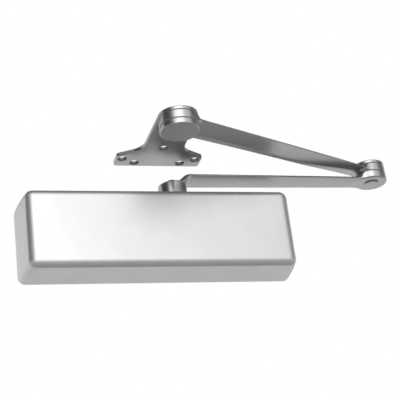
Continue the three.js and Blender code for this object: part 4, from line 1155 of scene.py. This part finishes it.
@dataclass
class SoffitPlate:
    """Flat plate with a round end, a neck, sloping shoulders and five countersunk holes."""

    finishes: Finishes
    round_end: float = 21.5 * MM
    reach: float = 110.8 * MM
    half_width: float = 49.6 * MM
    shoulder: float = 87.9 * MM
    shoulder_angle: float = 31
    neck: float = 22.6 * MM
    fillet: float = 21.4 * MM
    corner: float = 3.6 * MM
    bore: float = 4.4 * MM
    sink: float = 5.4 * MM
    sink_depth: float = 1.1 * MM
    stud_hole: float = 7.3 * MM
    broken: float = 0.2 * MM
    slack: float = 0.05 * MM
    edge: float = 0.45 * MM
    holes: tuple[tuple[float, float], ...] = (  # in millimetres
        (-42.3, 93.9), (42.3, 93.9), (-26.6, 102.8), (26.6, 102.8), (0, 67.7),
    )
    end_steps: int = 64
    neck_steps: int = 24
    corner_steps: int = 10
    edge_steps: int = 4
    sharp: float = 28

    def __post_init__(self) -> None:
        """Reads the plate's levels and the shoe's axis from the frame."""
        self.low, self.high = levels("soffit_plate")
        self.axis = centre_of("shoe_disc")

    def outline(self) -> Array:
        """Outline about the shoe's axis, anticlockwise: arcs and straight lines. Returns: points by 2."""
        slope = math.radians(self.shoulder_angle)
        cx = self.neck + self.fillet
        end_x = cx + self.fillet * math.cos(math.pi / 2 + slope)
        end_y = self.shoulder - (self.half_width - end_x) * math.tan(slope)
        cy = end_y - self.fillet * math.sin(math.pi / 2 + slope)
        side = self.half_width
        foot = [(end_x, end_y, 0), (side, self.shoulder, self.corner), (side, self.reach, self.corner)]
        foot.append((0, self.reach, 0))
        neck = arc(self.fillet, 180, 90 + self.shoulder_angle, self.neck_steps, (cx, cy))
        right = np.concatenate([neck, rounded_profile(foot, self.corner_steps)[1:]])
        left = right[::-1][1:] * [-1, 1]
        return np.concatenate([arc(self.round_end, 180, 360, self.end_steps), right, left])

    @staticmethod
    def inset(loop: Array, distance: Array) -> Array:
        """Moves a loop inwards along its corner normals. Args: loop, distances. Returns: loops."""
        ahead, back = np.roll(loop, -1, 0) - loop, loop - np.roll(loop, 1, 0)
        along = unit(unit(ahead) + unit(back))
        inward = np.stack([-along[:, 1], along[:, 0]], -1)
        return loop[None] + distance[:, None, None] * inward[None]

    def wall(self, skin: Skin, rings: Array, height: Array, inside: bool = False) -> None:
        """Adds the wall through a stack of loops. Args: skin, rings, height of each, inside of a hole."""
        z = np.broadcast_to(height[:, None, None], rings.shape[:2] + (1,))
        grid = np.concatenate([rings, z], -1).transpose(1, 0, 2) + [self.axis.x, self.axis.y, 0]
        skin.grid(grid[::-1] if inside else grid, wrap_rows=True)

    def face(self, skin: Skin, loops: list[Array], z: float, up: bool) -> None:
        """Fills between the outline and the round holes with triangles.

        Args:
            skin: takes the triangles.
            loops: the outline, then the holes.
            z: level of the face.
            up: whether it looks up.
        """
        starts = np.cumsum([0] + [len(loop) for loop in loops])
        edges = []
        for start, stop in zip(starts, starts[1:]):
            ring = np.arange(start, stop)
            edges += np.column_stack([ring, np.roll(ring, -1)]).tolist()
        filled = delaunay_2d_cdt([Vector(p) for p in np.concatenate(loops)], edges, [], INSIDE, NEAR)
        flat, triangles = (np.array([list(row) for row in filled[k]]) for k in (0, 2))
        middle = flat[triangles].mean(axis=1)
        for loop in loops[1:]:
            centre = loop.mean(axis=0)
            outside = np.linalg.norm(middle - centre, axis=1) > np.linalg.norm(loop[0] - centre)
            triangles, middle = triangles[outside], middle[outside]
        points = np.column_stack([flat + [self.axis.x, self.axis.y], np.full(len(flat), z)])
        skin.add(points, triangles if up else triangles[:, ::-1])

    def build(self) -> Piece:
        """Makes the rounded edge, the drilled holes and both faces. Returns: the plate."""
        skin = Skin()
        r = self.edge
        turn = quarter(self.edge_steps)
        rings = self.inset(self.outline(), np.concatenate([r * (1 - np.sin(turn)), r * (1 - np.cos(turn))]))
        height = np.concatenate([self.low + r * (1 - np.cos(turn)), self.high - r * (1 - np.sin(turn))])
        self.wall(skin, rings, height)
        lower, upper = [rings[0]], [rings[-1]]
        drill = [(self.sink + self.broken, self.low), (self.sink, self.low + self.broken)]
        drill += [(self.bore, self.low + self.sink_depth), (self.bore, self.high - self.broken)]
        drill.append((self.bore + self.broken, self.high))
        bores = [(x * MM, y * MM, np.array(drill)) for x, y in self.holes]
        bores.append((0.0, 0.0, np.array([(self.stud_hole, self.low), (self.stud_hole, self.high)])))
        for x, y, profile in bores:
            loops = profile[:, 0][:, None, None] * hole(1, (0, 0))[None] + [x, y]
            self.wall(skin, loops, profile[:, 1], inside=True)
            lower.append(loops[0])
            upper.append(loops[-1])
        self.face(skin, lower, self.low, False)
        self.face(skin, upper, self.high, True)
        plate = skin.mesh("soffit_plate_pressing", self.sharp)
        stands_for(plate, "soffit_plate", self.finishes)
        # Painted shade: the drilled walls take the dark casting finish
        self.paint_hole_shade(plate)
        return plate

    def paint_hole_shade(self, plate: Piece) -> None:
        """Paints shade into the drilled walls by giving them the dark casting finish. Args: plate."""
        plate.data.materials.append(self.finishes.get("cast_iron"))
        middle = np.empty((len(plate.data.polygons), 3))
        plate.data.polygons.foreach_get("center", middle.ravel())
        holes = np.array(self.holes) * MM + [self.axis.x, self.axis.y]
        reach = np.linalg.norm(middle[:, None, :2] - holes[None], axis=2).min(axis=1)
        drilled = reach < self.sink + self.slack
        plate.data.polygons.foreach_set("material_index", drilled.astype(np.int32))


# Inside the closer


@dataclass
class Spring:
    """Round-wire compression spring along X, with closed coils at both ends."""

    finishes: Finishes
    wire: float = 2.8 * MM
    mean_radius: float = 14.9 * MM
    turns: int = 9
    end_pitch: float = 6 * MM
    travel: float = 22.1 * MM
    steps: int = 36
    facets: int = 14
    end_share: float = 0.85
    sharp: float = 50

    def build(self) -> Piece:
        """Carries a circle along a helix whose first and last turns are closer together.

        The centre line is (start + pitch times turns so far, r cos a, r sin a). The circle stands on the two
        directions square to it: straight out from the axis, and the tangent crossed with that.

        Returns:
            The spring.
        """
        low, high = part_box("closing_spring")
        middle = centre_of("closing_spring")
        turn = np.linspace(0, self.turns, self.turns * self.steps + 1)
        length = high.x - low.x - 2 * self.wire
        pitch = (length - 2 * self.end_pitch) / (self.turns - 2)
        ends = np.minimum(turn, 1) + np.maximum(turn - (self.turns - 1), 0)
        x = low.x + self.wire + self.end_pitch * ends + pitch * (turn - ends)
        a = 2 * np.pi * turn
        out = np.stack([np.zeros_like(a), np.cos(a), np.sin(a)], -1)
        axis = np.stack([x, np.full_like(a, middle.y), np.full_like(a, middle.z)], -1)
        path = axis + self.mean_radius * out
        side = unit(np.cross(unit(np.gradient(path, axis=0)), out))
        share = np.concatenate([[0, self.end_share], np.ones(len(turn)), [self.end_share, 0]])
        rows = np.concatenate([[0, 0], np.arange(len(turn)), [len(turn) - 1] * 2])
        lap = np.linspace(0, 2 * np.pi, self.facets + 1)[None, :, None]
        circle = np.cos(lap) * out[rows][:, None] + np.sin(lap) * side[rows][:, None]
        grid = path[rows][:, None] + self.wire * share[:, None, None] * circle
        spring = Skin().grid(grid).mesh("closing_spring_wound", self.sharp)
        turn_outward(spring.data)
        stands_for(spring, "closing_spring", self.finishes)
        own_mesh(spring)
        return spring


@dataclass
class Refined:
    """CAD pieces whose shape is right: merged copies, shaded smooth up to their crisp edges."""

    finishes: Finishes
    sharp: float = 28

    TURNED = {
        Grain.ROUND_X: (
            "piston ball_retainer spring_seat spring_adjusting_screw spring_end_cap cylinder_end_cap "
            "sweep_valve latch_valve backcheck_valve"
        ).split(),
        Grain.ROUND_Y: ["cover_screw_left", "cover_screw_right"],
        Grain.ROUND_Z: (
            "pinion_shaft upper_pinion_bearing lower_pinion_bearing pinion_gland lower_pinion_plug "
            "arm_washer arm_screw"
        ).split(),
    }

    def copy(self, node: str) -> Piece:
        """Copies a CAD mesh, merged and with weighted normals. Args: node. Returns: the copy."""
        mesh = frame["nodes"][node].data.copy()
        mesh.name = f"{node}_finished"
        with editing(mesh) as bm:
            bmesh.ops.remove_doubles(bm, verts=bm.verts, dist=WELD)
        shade_smooth(mesh, self.sharp)
        piece = linked(mesh.name, mesh)
        weighted = piece.modifiers.new("weighted", "WEIGHTED_NORMAL")
        weighted.keep_sharp = True
        grain = next((grain for grain, nodes in self.TURNED.items() if node in nodes), Grain.EVEN)
        stands_for(piece, node, self.finishes, grain)
        return piece

    def build(self) -> None:
        """Copies every node that no other piece stands for."""
        for name, node in frame["nodes"].items():
            if not node.hide_render:
                self.copy(name)


# Studio


@dataclass
class Card:
    """One flat card of the studio, such as the floor or a dark flag that the metal mirrors."""

    name: str
    centre: Triple
    side: Triple
    rise: Triple
    grey: float
    glow: float = 0.0
    # Painted reflection: the grey that reflections show on the card's near part, darker than its own grey
    painted_reflection_grey: float = 0.52
    glow_from: float = 0.3
    glow_to: float = 1.8
    warm: float = 0.014
    near_warm: float = 0.01
    seen: bool = False

    def build(self) -> None:
        """Adds the card as part of the stage."""
        centre, side, rise = Vector(self.centre), Vector(self.side), Vector(self.rise)
        corners = [centre - side - rise, centre + side - rise, centre + side + rise, centre - side + rise]
        mesh = bpy.data.meshes.new(self.name)
        mesh.from_pydata([tuple(corner) for corner in corners], [], [(0, 1, 2, 3)])
        card = linked(self.name, mesh)
        card.visible_camera = self.seen
        material = bpy.data.materials.new(self.name)
        nodes = NodeTree(material)
        nodes.surface(Base_Color=grey(self.grey), Roughness=0.9)
        if self.glow:
            self._add_glow(nodes)
        mesh.materials.append(material)

    def _add_glow(self, nodes: NodeTree) -> None:
        """Paints what eyes and reflections see: a darker near part for reflections, a glow towards the far
        end. Args: nodes.
        """
        along = nodes.make("ShaderNodeSeparateXYZ", {}, {0: nodes.place((1, 1, 1))}, "Y")
        far = along.step(self.glow_from, self.glow_to)
        seen, glossy = nodes.seen()
        bare, painted_reflection_grey = grey(self.grey, self.near_warm), grey(self.painted_reflection_grey, self.warm)
        # Painted reflection: reflections see the near part in the darker grey, and eyes and reflections see
        # the far part glow
        near = nodes.colour_mix((1 - far) * glossy, bare, painted_reflection_grey)
        glow = nodes.colour_mix(far * seen, grey(0), grey(self.glow, self.warm))
        nodes.surface(Base_Color=near, Emission_Color=glow, Emission_Strength=1.0)


@dataclass
class Studio:
    """White studio: a camera below and to the left, one soft box, a pale floor and dark cards around."""

    camera_place: Triple = (-0.3592, -1.2507, -0.5526)
    camera_right: Triple = (0.96157, -0.2489, -0.11589)
    camera_up: Triple = (-0.00495, -0.43774, 0.89909)
    lens: float = 111.75
    shift: tuple[float, float] = (0.003, -0.0010)
    world_level: float = 0.7
    lamp_place: Triple = (-0.26, -1.6, 0.62)
    lamp_target: Triple = (0, 0, 0.03)
    lamp_size: float = 1.3
    lamp_power: float = 8.6
    cards: tuple[Card, ...] = (
        Card("studio_floor", (0, 0, -1.15), (6, 0, 0), (0, 6, 0), grey=0.8, glow=0.29, seen=True),
        Card("top_flag", (0.1, 0.22, 0.7), (0.9, 0, 0), (0, 0.78, 0), grey=0.22),
        Card("left_flag", (-1.6, -0.65, 0.7), (0, -1.15, 0), (0, 0, 0.75), grey=0.02),
        Card("right_flag", (1.7, -0.45, 0.6), (0, 0.9, 0), (0, 0, 0.65), grey=0.3),
        Card("back_flag", (1.2, 2.2, 0.8), (1.2, 0, 0), (0, 0, 0.8), grey=0.2),
    )

    def camera(self) -> None:
        """Sets the camera from its place and its right and up directions."""
        data = bpy.data.cameras.new("studio_camera")
        data.sensor_width = 36
        data.lens = self.lens
        data.shift_x, data.shift_y = self.shift
        camera = linked("studio_camera", data)
        right, up = Vector(self.camera_right).normalized(), Vector(self.camera_up).normalized()
        back = right.cross(up).normalized()
        up = back.cross(right)
        turn = Matrix((right, up, back)).transposed().to_4x4()
        camera.matrix_world = Matrix.Translation(self.camera_place) @ turn
        bpy.context.scene.camera = camera

    def lamp(self) -> None:
        """Adds the square soft box, turned to what it lights."""
        data = bpy.data.lights.new("key_softbox", "AREA")
        data.size = self.lamp_size
        data.energy = self.lamp_power
        lamp = linked("key_softbox", data)
        lamp.location = self.lamp_place
        aim = Vector(self.lamp_target) - Vector(self.lamp_place)
        lamp.rotation_mode = "QUATERNION"
        lamp.rotation_quaternion = aim.to_track_quat("-Z", "Y")

    def world(self) -> None:
        """White for camera, glossy and transmission rays, and a plain level for the rest."""
        world = bpy.data.worlds.new("white_studio")
        bpy.context.scene.world = world
        nodes = NodeTree(world, "Background")
        level = self.world_level + (1 - self.world_level) * nodes.seen()[0]
        nodes.surface(Color=grey(1), Strength=level)

    def build(self) -> None:
        """Sets up view, camera, world, cards and lamp."""
        bpy.context.scene.view_settings.view_transform = "Standard"
        self.camera()
        self.world()
        for card in self.cards:
            card.build()
        self.lamp()


def main() -> None:
    """Builds the studio, then each sub-assembly, and reports every piece."""
    logging.basicConfig(level=logging.INFO, format="%(name)s: %(message)s")
    Studio().build()
    finishes = Finishes()
    Cover(finishes).build()
    MainArm(finishes).build()
    Forearm(finishes).build()
    ElbowAndShoe(finishes).build()
    SoffitPlate(finishes).build()
    Spring(finishes).build()
    Refined(finishes).build()


if __name__ == "__main__":
    main()
